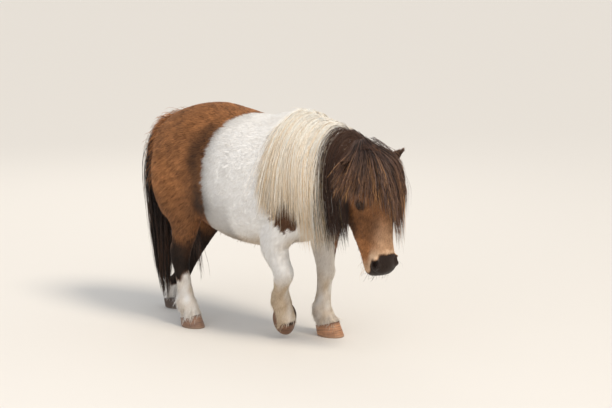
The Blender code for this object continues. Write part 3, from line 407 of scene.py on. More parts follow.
def head_matrix():
    """The head's frame: down the face, out of the forehead and to the pony's right."""
    turn, drop = math.radians(HEAD_TURN), math.radians(HEAD_DROP)
    way = Vector((math.cos(turn), -math.sin(turn), 0))
    down_face = way * math.cos(drop) - Vector((0, 0, math.sin(drop)))
    out = way * math.sin(drop) + Vector((0, 0, math.cos(drop)))
    axes = Matrix((down_face, out, down_face.cross(out))).transposed()
    return np.array(Matrix.Rotation(math.radians(HEAD_ROLL), 3, way) @ axes)


HEAD_AXES = head_matrix()


def from_head(local):
    """A place in the head's frame as a place on the pony."""
    return np.asarray(local, float) @ HEAD_AXES.T + np.array(POLL)


def to_head(points):
    """The other way round: a place on the pony in the head's frame."""
    return (np.asarray(points, float) - np.array(POLL)) @ HEAD_AXES


def head_rings(count=70, around=48):
    """Broad at the brow and narrower along the jaw: half widths blend by the height in the section."""
    rows = smooth_rows(HEAD, count)
    angle = np.linspace(0, 2 * np.pi, around, endpoint=False)
    side, rise = np.sin(angle), np.cos(angle)
    side = np.sign(side) * np.abs(side) ** 0.8
    down, front, jaw, brow, cheek = (rows[:, k, None] for k in range(5))
    wide = np.where(rise > 0, brow, cheek + (brow - cheek) * (1 + rise) ** 1.5)
    local = np.stack([down + 0 * side, (front + jaw) / 2 + (front - jaw) / 2 * rise, wide * side], axis=-1)
    return capped(from_head(local))


def bulge_rings(centre, half, turn, count=14, around=24):
    """An ellipsoid: a ball's rings times its half sizes, turned about the sideways axis."""
    tall, angle = np.meshgrid(np.linspace(0.05, np.pi - 0.05, count),
                              np.linspace(0, 2 * np.pi, around, endpoint=False), indexing="ij")
    ball = np.stack([np.sin(tall) * np.cos(angle), np.sin(tall) * np.sin(angle), np.cos(tall)], -1)
    place = np.array(Matrix.Rotation(math.radians(turn), 3, "Y"))
    return capped((ball * half) @ place.T + centre)


# %% One skin
VOXEL = 0.003
RELAX, RELAX_TRUNK = 34, 150  # rounds


def one_mesh(name, forms):
    """Many closed grids as one mesh, their faces numbered on."""
    points = np.concatenate([form.reshape(-1, 3) for form in forms])
    starts = np.cumsum([0] + [form.shape[0] * form.shape[1] for form in forms[:-1]])
    faces = np.concatenate([grid_faces(*form.shape[:2]) + s for form, s in zip(forms, starts)])
    return mesh_piece(name, points, faces)


def applied(piece):
    """The piece with its modifiers worked into its mesh."""
    graph = bpy.context.evaluated_depsgraph_get()
    mesh = bpy.data.meshes.new_from_object(piece.evaluated_get(graph))
    piece.modifiers.clear()
    piece.data = mesh
    return piece


forms = [torso_rings(), limb_rings(NECK), head_rings()]
forms += [limb_rings(leg) for leg in (FORELEG_LEFT, FORELEG_RIGHT, HINDLEG_LEFT, HINDLEG_RIGHT)]
forms += [bulge_rings(*row) for row in BULGES]
for place, half in HEAD_BULGES:
    for mirror in (-1, 1):
        local = bulge_rings((place[0], place[1], place[2] * mirror), half, 0)
        forms.append(from_head(local.reshape(-1, 3)).reshape(local.shape))
skin = one_mesh("skin", forms)
remesh = skin.modifiers.new("one_skin", "REMESH")
remesh.mode, remesh.voxel_size = "VOXEL", VOXEL
applied(skin)
print("the skin starts with", len(skin.data.vertices), "points")

# %% [markdown]
# ## Relaxed, set in and sculpted
# Real skin has no creases where a leg meets the trunk, so the mesh is relaxed, most over the broad
# trunk. Then each point moves in by the depth of the coat there: deep on the croup and the belly,
# shallow on the legs and the face. The nostrils, the line of the mouth and the folds are moved into
# the same mesh, because they are folds of the same skin.


# %% Relax and set in
def ramp(x, low, high):
    """0 below low, 1 above high and an S between them; low may be the larger of the two."""
    t = np.clip((np.asarray(x, float) - low) / (high - low), 0, 1)
    return t * t * (3 - 2 * t)


def group_from(piece, name, weights, steps=16):
    """A vertex group from an array of weights, in a few steps."""
    group = piece.vertex_groups.new(name=name)
    level = np.round(np.clip(weights, 0, 1) * steps).astype(int)
    for k in range(1, steps + 1):
        group.add(np.flatnonzero(level == k).tolist(), k / steps, "REPLACE")
    return group


def body_parts(points):
    """How much each point belongs to the trunk, the legs, the head and the muzzle, from 0 to 1."""
    x, y, z = points.T
    a, b, c = to_head(points).T
    head = ramp(a, 0.02, 0.07) * ramp(x, 0.34, 0.40)
    legs = ramp(z, 0.47, 0.38) * (1 - head)
    return {"trunk": ramp(z, 0.47, 0.57) * ramp(x, 0.36, 0.26), "legs": legs, "head": head,
            "muzzle": head * ramp(a, 0.34, 0.42)}


points = positions(skin)
group_from(skin, "trunk", body_parts(points)["trunk"])
for name, rounds, group in (("relax", RELAX, ""), ("relax_trunk", RELAX_TRUNK, "trunk")):
    relax = skin.modifiers.new(name, "SMOOTH")
    relax.factor, relax.iterations, relax.vertex_group = 0.5, rounds, group
applied(skin)


def normals_of(piece):
    flat = np.empty(len(piece.data.vertices) * 3, np.float32)
    piece.data.vertices.foreach_get("normal", flat)
    return flat.reshape(-1, 3).astype(float)


def set_positions(piece, points):
    piece.data.vertices.foreach_set("co", (points - MIDDLE).astype(np.float32).ravel())
    piece.data.update()


COAT_DEPTH = {"trunk": 0.0060, "legs": 0.0035, "head": 0.0028, "muzzle": 0.0010}
points, out = positions(skin), normals_of(skin)
part = body_parts(points)
depth = np.full(len(points), COAT_DEPTH["trunk"])
for name in ("legs", "head", "muzzle"):
    depth += (COAT_DEPTH[name] - depth) * part[name]
points = points - out * depth[:, None]

# %% Nostrils, mouth and folds of the face
NOSTRIL_AT, NOSTRIL_LONG, NOSTRIL_WIDE = (0.430, -0.016), 0.0215, 0.0110  # down and out; half sizes
NOSTRIL_DEEP, NOSTRIL_TURN = 0.016, math.radians(-38)
MOUTH_FRONT, MOUTH_CORNER, MOUTH_DEEP = (0.481, -0.082), (0.402, -0.094), 0.0034


def fold(distance, wide):
    """The height of a soft fold: a bell over the distance from its line."""
    return np.exp(-(distance / wide) ** 2)


local, way = to_head(points), out @ HEAD_AXES
a, b, c = local.T
on_head = a > 0.12
side = np.sign(c)
# nostril: a turned oval pushed in along the skin, inside a raised rim
along = (a - NOSTRIL_AT[0]) * math.cos(NOSTRIL_TURN) + (b - NOSTRIL_AT[1]) * math.sin(NOSTRIL_TURN)
square = -(a - NOSTRIL_AT[0]) * math.sin(NOSTRIL_TURN) + (b - NOSTRIL_AT[1]) * math.cos(NOSTRIL_TURN)
curl = square - 12.0 * along**2  # the opening is a comma, not an oval
oval = np.hypot(along / NOSTRIL_LONG, curl / NOSTRIL_WIDE)
outer_side = ramp(np.abs(c), 0.022, 0.034) * ramp(np.abs(way[:, 2]), 0.25, 0.55) * on_head
hollow = ramp(oval, 1.02, 0.62) * outer_side
rim = fold(oval - 1.30, 0.26) * outer_side * 0.0022
# mouth: a groove from the front of the lips back to the corner, with a lip that swells on each side
t = np.clip((a - MOUTH_CORNER[0]) / (MOUTH_FRONT[0] - MOUTH_CORNER[0]), 0, 1)
line = MOUTH_CORNER[1] + (MOUTH_FRONT[1] - MOUTH_CORNER[1]) * t + 0.004 * np.sin(np.pi * t)
groove = fold(b - line, 0.0030) * ramp(a, MOUTH_CORNER[0] - 0.006, MOUTH_CORNER[0] + 0.010)
lips = (fold(b - line - 0.011, 0.009) + 0.8 * fold(b - line + 0.011, 0.009)) * ramp(a, 0.405, 0.43)
lips *= ramp(np.abs(way[:, 0]), 0.95, 0.6)
# crest of the cheek bone, the hollow above the eye, the groove of the jaw and the wrinkles by the corner
crest = fold(b + 0.050 + 0.10 * (a - 0.25), 0.006) * ramp(a, 0.19, 0.23) * ramp(a, 0.335, 0.29)
temple = fold(np.hypot(a - 0.125, b + 0.022), 0.020) * ramp(np.abs(c), 0.05, 0.075)
jaw = fold(b + 0.165, 0.014) * ramp(a, 0.21, 0.26) * ramp(a, 0.40, 0.34)
wrinkles = sum(fold(np.hypot(a - 0.396, (b + 0.088) * 0.35) - r, 0.0016) for r in (0.008, 0.014, 0.020))
wrinkles *= ramp(a, 0.404, 0.392)
push = rim + lips * 0.0014 + crest * 0.0024 - temple * 0.0045 - jaw * 0.0030 - wrinkles * 0.0008
push = push * on_head - groove * MOUTH_DEEP * on_head
inward = np.stack([-0.25 + 0 * c, -0.35 + 0 * c, -0.9 * side], -1)
local = local + way * push[:, None] + unit(inward) * (hollow * NOSTRIL_DEEP)[:, None]
points = np.where(on_head[:, None], from_head(local), points)
set_positions(skin, points)
print("the deepest fold is", round(float(-push.min()) * 1000, 1), "mm")

# %% Fewer faces where the form is broad
SKIN_TRIANGLES = 195_000
whole = sum(len(face.vertices) - 2 for face in skin.data.polygons)
part = body_parts(positions(skin))
skin.vertex_groups.clear()
group_from(skin, "broad", 1 - part["head"], steps=2)
head_triangles = 2 * int((part["head"] > 0.5).sum())
fewer = skin.modifiers.new("fewer", "DECIMATE")
fewer.ratio, fewer.vertex_group = SKIN_TRIANGLES / whole, "broad"
skin.modifiers.new("triangles", "TRIANGULATE")
applied(skin)
skin.vertex_groups.clear()
skin.data.shade_smooth()
print("whole", whole, "head", head_triangles, "now", sum(len(face.vertices) - 2 for face in skin.data.polygons))

# %% [markdown]
# ## Where the colours lie
# The pony is skewbald: bay croup, white barrel, shoulders and forelegs, dark hind legs with white
# socks, and a bay face with a pale ring above a black muzzle. Each colour is a share from 0 to 1,
# worked out from a point's place, so the skin and every hair rooted in it carry the same markings.
# The edges wander, as they do where hairs of two colours mix. Some shares also hold painted light and
# shade: shade on the sides of the face, along the jaw's underside and between the backs of the thighs,
# sunlight on the front of the face and on the thigh's middle, and warm light reflected up under the belly.


# %% The markings
def wander(points, size, seed):
    """A smooth random field between about -1 and 1: seven sine waves in seeded directions."""
    waves = np.random.default_rng(seed)
    total = np.zeros(len(points))
    for _ in range(7):
        way = unit(waves.normal(size=3)) * 2 * np.pi / (size * waves.uniform(0.7, 1.6))
        total += np.sin(points @ way + waves.uniform(0, 2 * np.pi))
    return total / 2.7


# the front edge of the bay croup: height, place forward on the right and on the left
CROUP_EDGE = [(0.20, -0.350, -0.350), (0.44, -0.344, -0.330), (0.54, -0.312, -0.290), (0.66, -0.308, -0.250),
              (0.77, -0.303, -0.215), (0.85, -0.277, -0.205), (0.91, -0.238, -0.190), (0.96, -0.176, -0.176)]
SOCK_TOP = {"right": 0.205, "left": 0.120}
CHEST_PATCH = ((0.098, -0.192, 0.572), (0.066, 0.078, 0.080))  # middle, half sizes
NECK_DARK = (0.300, 0.350)  # the neck turns dark between these places forward
EYE_AT = (0.190, -0.034)  # where a line from the side meets the eye: down the face and out of it


def hind_or_flank(x):
    return ramp(x, -0.15, -0.20)


def markings(points):
    """The shares of bay, dark and cream hair, and of bare skin, at places on the pony; some of the dark, pale and cream
    shares are painted shade and light.
    """
    x, y, z = points.T
    a, b, c = to_head(points).T
    broad, fine = wander(points, 0.11, 1), wander(points, 0.028, 2)
    part = body_parts(points)
    edge = np.array(CROUP_EDGE)
    right, left = np.interp(z, edge[:, 0], edge[:, 1]), np.interp(z, edge[:, 0], edge[:, 2])
    front = right + (left - right) * ramp(y, -0.03, 0.03) + 0.004 * broad * ramp(y, -0.05, 0.05)
    bay = ramp(front - x + 0.004 * fine, -0.006, 0.008)
    hind = ramp(x, -0.30, -0.36)
    dark = hind * (1 - (1 - ramp(z + 0.020 * broad + 0.006 * fine, 0.500, 0.265)) ** 2.0)
    # under the tail's root the backs of the thighs and the seam between them are darker: painted shade under the tail
    # and between the thighs
    dark = np.maximum(dark, hind * ramp(x, -0.66, -0.72) * ramp(z, 0.80, 0.72) * 0.8)
    # a dark stripe from the hip down the flank's edge, patches of darker hair over the croup, and the croup darker
    # towards its bottom and along its top: partly its own darker hair and partly painted light that leaves the thigh's
    # middle lighter as if sunlit
    stripe = fold(x - front + 0.040 + 0.010 * broad, 0.060) * ramp(z, 0.46, 0.56) * ramp(z, 0.93, 0.86)
    lower = ramp(z, 0.66, 0.50) * 0.34 + 0.08 * np.clip(broad, 0, 1) + 0.22 * ramp(z, 0.86, 0.95)
    dark = np.maximum(dark, hind_or_flank(x) * np.clip(0.70 * stripe + lower, 0, 1))
    sock_top = np.where(y < 0, SOCK_TOP["right"] + 0.05 * ramp(x, -0.52, -0.47), SOCK_TOP["left"])
    sock = hind * ramp(sock_top - z + 0.010 * broad + 0.006 * fine, -0.008, 0.014)
    bay, dark = bay * (1 - sock), dark * (1 - sock)
    patch = np.linalg.norm((points - CHEST_PATCH[0]) / np.array(CHEST_PATCH[1]), axis=1)
    patch = ramp(patch + 0.16 * broad + 0.12 * fine, 1.10, 0.92)
    # the outer side of the left foreleg, down to the knee
    strip = ramp(y + 0.006 * broad + 0.004 * fine - 0.036 * ramp(z, 0.40, 0.28), 0.114, 0.130) * ramp(z + 0.008 * broad, 0.270, 0.300) * ramp(z + 0.02 * broad, 0.67, 0.56)
    strip = strip * ramp(x + 0.02 * broad, -0.03, 0.02)
    bay = np.maximum(bay, np.maximum(patch, strip))
    dark = np.maximum(dark, np.maximum(patch * 0.80, strip * (0.35 + 0.55 * ramp(z, 0.42, 0.34))))
    neck = ramp(x + 0.010 * broad + 0.2 * (z - 0.75) * ramp(z, 0.75, 0.60), *NECK_DARK) * (1 - part["legs"])
    neck = neck * ramp(z, 0.45, 0.50)
    bay, dark = np.maximum(bay, neck), np.maximum(dark, neck * 0.72)
    # the face: dark at the poll and round the eyes, dark hair with painted shade along the jaw's underside, painted
    # shade on the cheeks and a front made lighter as painted sunlight; bare round the nostrils and the chin
    jaw_edge = np.interp(a, [0.05, 0.1, 0.2, 0.29, 0.37, 0.44], [-0.182, -0.203, -0.222, -0.201, -0.158, -0.130])
    head = ramp(a, 0.02, 0.07) * ramp(x, 0.30, 0.34) * ramp(b - jaw_edge, -0.050, -0.020)
    head = np.maximum(head, part["head"])
    # dark at the poll, and a dark band along the jaw's edge: dark hairs there, with painted shade of the jaw's
    # underside
    face_dark_and_shade = np.maximum(ramp(a, 0.16, 0.08) * 0.75, ramp(b - jaw_edge, 0.046, 0.016) * 0.95)
    # painted shade: the sides of the face are darkened as if turned away from the light
    cheek = 0.56 * ramp(np.abs(c), 0.015, 0.050) * ramp(a, 0.36, 0.31) * ramp(a, 0.10, 0.22)
    face_dark_and_shade = np.maximum(face_dark_and_shade, cheek * (0.8 + 0.35 * broad))
    nose_from = 0.392 + 0.018 * ramp(np.abs(c), 0.030, 0.055) + 0.018 * ramp(b, -0.030, -0.075)
    nose_from = nose_from + 0.036 * ramp(b, -0.028, -0.060) * ramp(np.abs(c), 0.022, 0.042)
    below = a - nose_from + 0.0025 * fine
    chin = ramp(b - jaw_edge, 0.034, 0.020) * ramp(a, 0.365, 0.395)
    bare = np.maximum(ramp(below, -0.005, 0.010), chin * 0.85) * head
    ring_wide = 0.038 + 0.030 * ramp(np.abs(c), 0.028, 0.052)
    pale = 0.92 * ramp(below, -ring_wide, -0.004)
    # painted sunlight: the front of the face is paled with the mealy hue as if lit; the ring above the nose is the real
    # mealy colour
    pale = np.maximum(pale, 0.52 * ramp(np.abs(c), 0.060, 0.025) * ramp(a, 0.20, 0.34) * ramp(b, -0.06, -0.03))
    pale = pale * (1 - bare) * head * (1 - 0.7 * chin)
    eye_ring = np.clip(1.5 * fold(np.hypot(a - EYE_AT[0], b - EYE_AT[1]), 0.027), 0, 1)
    eye_ring = eye_ring * ramp(np.abs(c), 0.05, 0.07) * head
    dark = dark * (1 - head) + head * np.maximum(face_dark_and_shade, 0.93 * eye_ring)
    dark = np.maximum(dark * (1 - pale), bare)
    bay = bay * (1 - head) + head
    # cream stains below the knees and on the fetlocks, and cream under the belly that is painted warm light reflected
    # up from the ground
    cream = ramp(z, 0.34, 0.20) * 0.24 + 0.20 * wander(points, 0.05, 3) * ramp(z, 0.34, 0.22)
    # painted reflection: warm light from the ground, laid on the belly's underside as cream
    belly = ramp(z, 0.50, 0.41) * ramp(np.abs(y), 0.20, 0.13) * np.maximum(ramp(x, 0.02, -0.04), ramp(z, 0.40, 0.44))
    fore = ramp(x, -0.12, -0.08) * ramp(z, 0.46, 0.38)
    stained = 0.50 * ramp(z, 0.32, 0.24) * ramp(y, 0.0, -0.04) + 0.36 * ramp(y, 0.0, 0.04)
    cream = np.clip(cream + 0.80 * belly * (1 - hind) + fore * stained, 0, 1)
    cream = cream * (1 - head) + pale
    return {"bay": bay, "dark": np.clip(dark, 0, 1), "cream": cream, "bare": bare, "pale": pale}


def put_markings(piece, points, along=None, vary=None):
    """The markings at each point's place or root, as attributes for the coat's material."""
    shares = markings(points)
    put_values(piece, "marks", np.stack([shares["bay"], shares["dark"], shares["cream"]], -1))
    zero = np.zeros(len(points))
    put_values(piece, "hair", np.stack([zero + 0.5 if vary is None else vary,
                                        zero + 0.5 if along is None else along, shares["bare"]], -1))
    put_values(piece, "mealy_and_lit_face", shares["pale"])


# %% [markdown]
# ## Coat and skin
# A horse's coat is short guard hair over softer under hair. It gives the eye a soft sheen at
# grazing angles and fine streaks along the lie, a little darker at the roots than at the tips. The
# material reads the shares of each colour and a number that differs from tuft to tuft.

# %% The coat's material
COAT_COLOURS = {  # darker tufts, lighter tufts
    "white": ("#E6E1DA", "#FFFEFC"),
    # cream: stains on the lower legs, and painted warm light reflected under the belly
    "cream": ("#AD9274", "#E2D0B6"),
    "bay": ("#48260F", "#D9945D"),
    "dark": ("#0F0805", "#302017"),
    # mealy: the pale ring above the nose, and painted sunlight on the front of the face
    "mealy_and_lit_face": ("#BD8E68", "#F3D9BA"),
}


def coat_material(name, bump_scale, bump_mm):
    """White, with cream, bay, mealy and dark laid over it by their shares, some of which are painted light and shade;
    bare skin is smoother.
    """
    material = bpy.data.materials.new(name)
    material.use_nodes = True
    shader = material.node_tree.nodes["Principled BSDF"]
    place = add(material, "ShaderNodeTexCoord").outputs["Object"]
    marks = add(material, "ShaderNodeAttribute", attribute_name="marks").outputs["Vector"]
    hair = add(material, "ShaderNodeAttribute", attribute_name="hair").outputs["Vector"]
    mealy_and_lit_face = add(material, "ShaderNodeAttribute", attribute_name="mealy_and_lit_face").outputs["Fac"]
    bay, dark, cream = add(material, "ShaderNodeSeparateXYZ", [(0, marks)]).outputs
    vary, along, bare = add(material, "ShaderNodeSeparateXYZ", [(0, hair)]).outputs
    blotch = add(material, "ShaderNodeTexNoise", [("Vector", place)])
    blotch.inputs["Scale"].default_value = 1 / 0.060
    blotch.inputs["Detail"].default_value = 4.0
    fine = add(material, "ShaderNodeTexNoise", [("Vector", place)])
    fine.inputs["Scale"].default_value = bump_scale
    fine.inputs["Detail"].default_value = 3.0
    patchy = add(material, "ShaderNodeMath", [(0, blotch.outputs[0])], operation="MULTIPLY", in_1=0.42)
    mixed = add(material, "ShaderNodeMath", [(0, vary), (2, patchy.outputs[0])], operation="MULTIPLY_ADD",
                in_1=0.62)
    lift = add(material, "ShaderNodeMath", [(0, along), (2, mixed.outputs[0])], operation="MULTIPLY_ADD",
               in_1=0.22)
    share = add(material, "ShaderNodeMapRange", [(0, lift.outputs[0])], in_1=0.28, in_2=0.98)
    colour = None
    for hue, amount in (("white", None), ("cream", cream), ("bay", bay), ("mealy_and_lit_face", mealy_and_lit_face), ("dark", dark)):
        pair = add(material, "ShaderNodeMix", [(0, share.outputs[0])], data_type="RGBA")
        pair.inputs[6].default_value, pair.inputs[7].default_value = map(linear, COAT_COLOURS[hue])
        if colour is None:
            colour = pair.outputs[2]
        else:
            colour = add(material, "ShaderNodeMix", [(0, amount), (6, colour), (7, pair.outputs[2])],
                         data_type="RGBA").outputs[2]
    material.node_tree.links.new(colour, shader.inputs["Base Color"])
    rough = add(material, "ShaderNodeMapRange", [(0, bare)], in_3=0.62, in_4=0.42)
    material.node_tree.links.new(rough.outputs[0], shader.inputs["Roughness"])
    bump = add(material, "ShaderNodeBump", [("Height", fine.outputs[0])])
    bump.inputs["Distance"].default_value = bump_mm / 1000
    bump.inputs["Strength"].default_value = 0.6
    material.node_tree.links.new(bump.outputs[0], shader.inputs["Normal"])
    shader.inputs["Specular IOR Level"].default_value = 0.25
    shader.inputs["Sheen Weight"].default_value = 0.04
    shader.inputs["Sheen Roughness"].default_value = 0.45
    return material


pelt = coat_material("horse_skin_and_under_hair", bump_scale=1 / 0.004, bump_mm=0.8)
guard_hair = coat_material("horse_guard_hair", bump_scale=1 / 0.0015, bump_mm=0.15)
skin.data.materials.append(pelt)
put_markings(skin, positions(skin))


# %% [markdown]
# ## Unwraps
# Each part of the skin is unrolled onto a map like a paper tube about its own bone: the way along it
# runs one way over the map, and the way round it the other. A tuft keeps a small patch of the map at
# its root's place, so that its colour stays its own.

# %% Unrolled places
def unroll(points, start, end, low=(0.0, 0.0), high=(1.0, 1.0)):
    """Along a bone from start to end and round it, as a place in a box of the map."""
    start, end = np.array(start, float), np.array(end, float)
    bone = unit(end - start)
    side = unit(np.cross(bone, [0.13, 1.0, 0.07]))
    third = np.cross(bone, side)
    away = points - start
    along = (away @ bone) / np.linalg.norm(end - start)
    turn = np.arctan2(away @ side, away @ third) / (2 * np.pi) + 0.5
    share = np.clip(np.stack([along, turn], -1), 0, 1)
    return np.array(low) + (np.array(high) - low) * share


LEG_BONES = {  # of each leg, and the strip of the map that it takes
    "foreleg_left": ((0.06, 0.12, 0.56), (0.06, 0.12, 0.02)),
    "foreleg_right": ((0.01, -0.11, 0.56), (0.01, -0.07, 0.06)),
    "hindleg_left": ((-0.58, 0.13, 0.60), (-0.72, 0.11, 0.02)),
    "hindleg_right": ((-0.50, -0.14, 0.60), (-0.50, -0.13, 0.02)),
}


def unroll_legs(points):
    """Four strips of the map, one for each leg, chosen by the nearest bone."""
    bones = [np.array(ends) for ends in LEG_BONES.values()]
    gaps = []
    for start, end in bones:
        t = np.clip((points - start) @ (end - start) / ((end - start) @ (end - start)), 0, 1)
        gaps.append(np.linalg.norm(points - start - t[:, None] * (end - start), axis=1))
    nearest = np.argmin(gaps, axis=0)
    places = np.zeros((len(points), 2))
    for k, (start, end) in enumerate(bones):
        strip = unroll(points, start, end, (0.01, k / 4 + 0.01), (0.99, k / 4 + 0.24))
        places[nearest == k] = strip[nearest == k]
    return places


def unroll_trunk(points):
    return unroll(points, (-0.80, 0.0, 0.70), (0.46, 0.0, 0.70), (0.01, 0.01), (0.99, 0.99))


def unroll_head(points):
    return unroll(points, from_head((-0.06, -0.08, 0)), from_head((0.50, -0.08, 0)), (0.01, 0.01), (0.99, 0.99))

# %% [markdown]
# ## The coat in tufts
# The coat is tens of thousands of small tufts, each a flat spike of four faces that lies along the
# body and overlaps the next, like thatch. They are longest on the croup, chest and belly, and
# smallest on the face and the feet. A tuft takes the light as the body under it does, a little
# turned, so that the coat reads as fur and not as scales.

# %% Roots and lie
skin_tree = BVHTree.FromObject(skin, bpy.context.evaluated_depsgraph_get())
skin_points, skin_out = positions(skin), normals_of(skin)
faces = np.empty(len(skin.data.polygons) * 3, np.int32)
skin.data.polygons.foreach_get("vertices", faces)
faces = faces.reshape(-1, 3)


def nearest_skin(points):
    """The nearest place on the skin to each point, and the way out of it there."""
    found = [skin_tree.find_nearest(Vector(p)) for p in np.asarray(points) - MIDDLE]
    return (np.array([list(hit[0]) for hit in found]) + MIDDLE, np.array([list(hit[1]) for hit in found]))


def scatter(weight, count):
    """Random places on the skin, as many to the area as the weight says, with the way out there."""
    corner = skin_points[faces]
    area = np.linalg.norm(np.cross(corner[:, 1] - corner[:, 0], corner[:, 2] - corner[:, 0]), axis=1)
    chance = area * weight(corner.mean(1))
    pick = draw.choice(len(faces), count, p=chance / chance.sum())
    u, v = draw.random(count), draw.random(count)
    u, v = np.where(u + v > 1, 1 - u, u), np.where(u + v > 1, 1 - v, v)
    share = np.stack([1 - u - v, u, v], -1)[:, :, None]
    return (corner[pick] * share).sum(1), unit((skin_out[faces[pick]] * share).sum(1))


def lie_of(points, out):
    """Which way the coat lies: back and down the trunk, down the legs, down the face and back over the jaw."""
    x, y, z = points.T
    a, b, c = to_head(points).T
    part = body_parts(points)
    trunk = np.stack([-1.0 + 0 * x, 0 * y, -0.25 - 0.9 * ramp(z, 0.92, 0.55)], -1)
    # the flank's whorl turns the hair up and back in front of the thigh
    flank = fold(np.hypot(x + 0.33, (z - 0.60) * 0.6), 0.07)[:, None]
    trunk = trunk + flank * np.array([0.7, 0, 0.9])
    leg = np.stack([-0.22 + 0 * x, 0 * y, -1.0 + 0 * z], -1)
    face = from_head(np.stack([1.0 + 0 * a, -0.30 - 0.8 * ramp(b, -0.06, -0.14), 0.30 * np.sign(c)], -1))
    face = face - np.array(POLL)
    legs, head = part["legs"][:, None], part["head"][:, None]
    way = trunk * (1 - legs) * (1 - head) + leg * legs + face * head
    way = way + 0.08 * np.stack([wander(points, 0.05, k) for k in (11, 12, 13)], -1)
    return unit(way - out * (way * out).sum(1, keepdims=True))


# %% Tufts
PATCH = 0.003  # of the map, for one tuft


def tufts(name, weight, count, length, wide, raise_by, unwrap, material, slot):
    """Flat spikes: a low triangle at the root and one tip, along the lie and raised a little."""
    root, out = scatter(weight, count)
    lie = lie_of(root, out)
    across = np.cross(lie, out)
    vary = np.clip(draw.normal(0.5, 0.21, count) + 0.12 * wander(root, 0.03, 21), 0, 1)
    size = length(root) * draw.uniform(0.7, 1.25, count)
    half = wide(root) * draw.uniform(0.7, 1.3, count) / 2
    swing = draw.normal(0, 0.16, count)[:, None]
    way = unit(lie + across * swing + out * (raise_by * draw.uniform(0.5, 1.5, count))[:, None])
    low = root - out * 0.0012 - lie * 0.002
    tip = root + way * size[:, None] + out * 0.0006
    points = np.stack([low + across * half[:, None], low - across * half[:, None],
                       root + out * (half * 0.75)[:, None] + way * (size * 0.25)[:, None], tip], axis=1)
    start = np.arange(count)[:, None, None] * 4
    faces = start + np.array([[0, 3, 2], [2, 3, 1], [1, 3, 0], [0, 2, 1]])
    piece = mesh_piece(name, points, faces.reshape(-1, 3), material)
    lean = np.array([0.35, -0.35, 0.0, 0.0])
    facing = unit(out[:, None] + across[:, None] * lean[None, :, None] + lie[:, None] * 0.10)
    piece.data.normals_split_custom_set_from_vertices(facing.reshape(-1, 3).tolist())
    put_markings(piece, np.repeat(root + across * 0.002 * swing, 4, 0), np.tile([0.0, 0.0, 0.3, 1.0], count),
                 np.repeat(vary, 4))
    corner = np.array([[-0.5, 0], [0.5, 0], [0, 0.3], [0, 1]]) * PATCH
    put_map(piece, "OFBake", (unwrap(root)[:, None] + corner).reshape(-1, 2))
    return kept(piece, slot)


def trunk_share(points):
    part = body_parts(points)
    return (1 - part["legs"]) * (1 - part["head"])


def croup_side(points):
    return trunk_share(points) * ramp(points[:, 0], -0.225, -0.245)


def barrel_side(points):
    """The barrel and the forehand; less where the mane hides them."""
    shown = 1 - 0.6 * ramp(points[:, 0], 0.10, 0.16) * ramp(points[:, 2], 0.58, 0.66)
    return trunk_share(points) * ramp(points[:, 0], -0.245, -0.225) * shown


def leg_side(points):
    return body_parts(points)["legs"] * ramp(points[:, 2], 0.03, 0.05)


def face_side(points):
    part = body_parts(points)
    return part["head"] * (1 - 0.92 * markings(points)["bare"]) * (1 + 0.6 * part["muzzle"])


def coat_length(points):
    """Short on the saddle, longer on the croup, thighs and belly, in metres."""
    x, y, z = points.T
    hind, low = ramp(x, -0.30, -0.45), ramp(z, 0.50, 0.42)
    return 0.017 + hind * (0.008 - 0.012 * low) + 0.007 * low * (1 - hind) + 0.010 * ramp(x, -0.62, -0.70) * (1 - low)


COATS = [  # name, where, count, length, width, how far it stands, unroll, slot
    ("coat_croup", croup_side, 45_000, coat_length, lambda p: 0.0030 + 0 * p[:, 0], 0.14, unroll_trunk, "coat_body"),
    ("coat_barrel", barrel_side, 39_000, coat_length, lambda p: 0.0030 + 0 * p[:, 0], 0.09, unroll_trunk, "coat_body"),
    ("coat_legs", leg_side, 38_000, lambda p: 0.010 + 0.006 * ramp(p[:, 2], 0.1, 0.4),
     lambda p: 0.0026 + 0 * p[:, 0], 0.14, unroll_legs, "coat_forelegs"),
    ("coat_face", face_side, 30_000, lambda p: 0.0095 - 0.004 * body_parts(p)["muzzle"],
     lambda p: 0.0021 - 0.0006 * body_parts(p)["muzzle"], 0.13, unroll_head, "coat_head_forelock"),
]
for name, weight, count, length, wide, raise_by, unwrap, slot in COATS:
    tufts(name, weight, count, length, wide, raise_by, unwrap, guard_hair, slot)

# %% [markdown]
# ## Long hair
# Mane, forelock and tail are thousands of thin locks, each a three sided tapering wand that bends
# along its path. A lock is rooted in the skin, rises over its neighbours, follows the body round
# and hangs free from where the body is widest, as heavy hair does. Locks gather in clumps that
# share a way and close towards their tips.

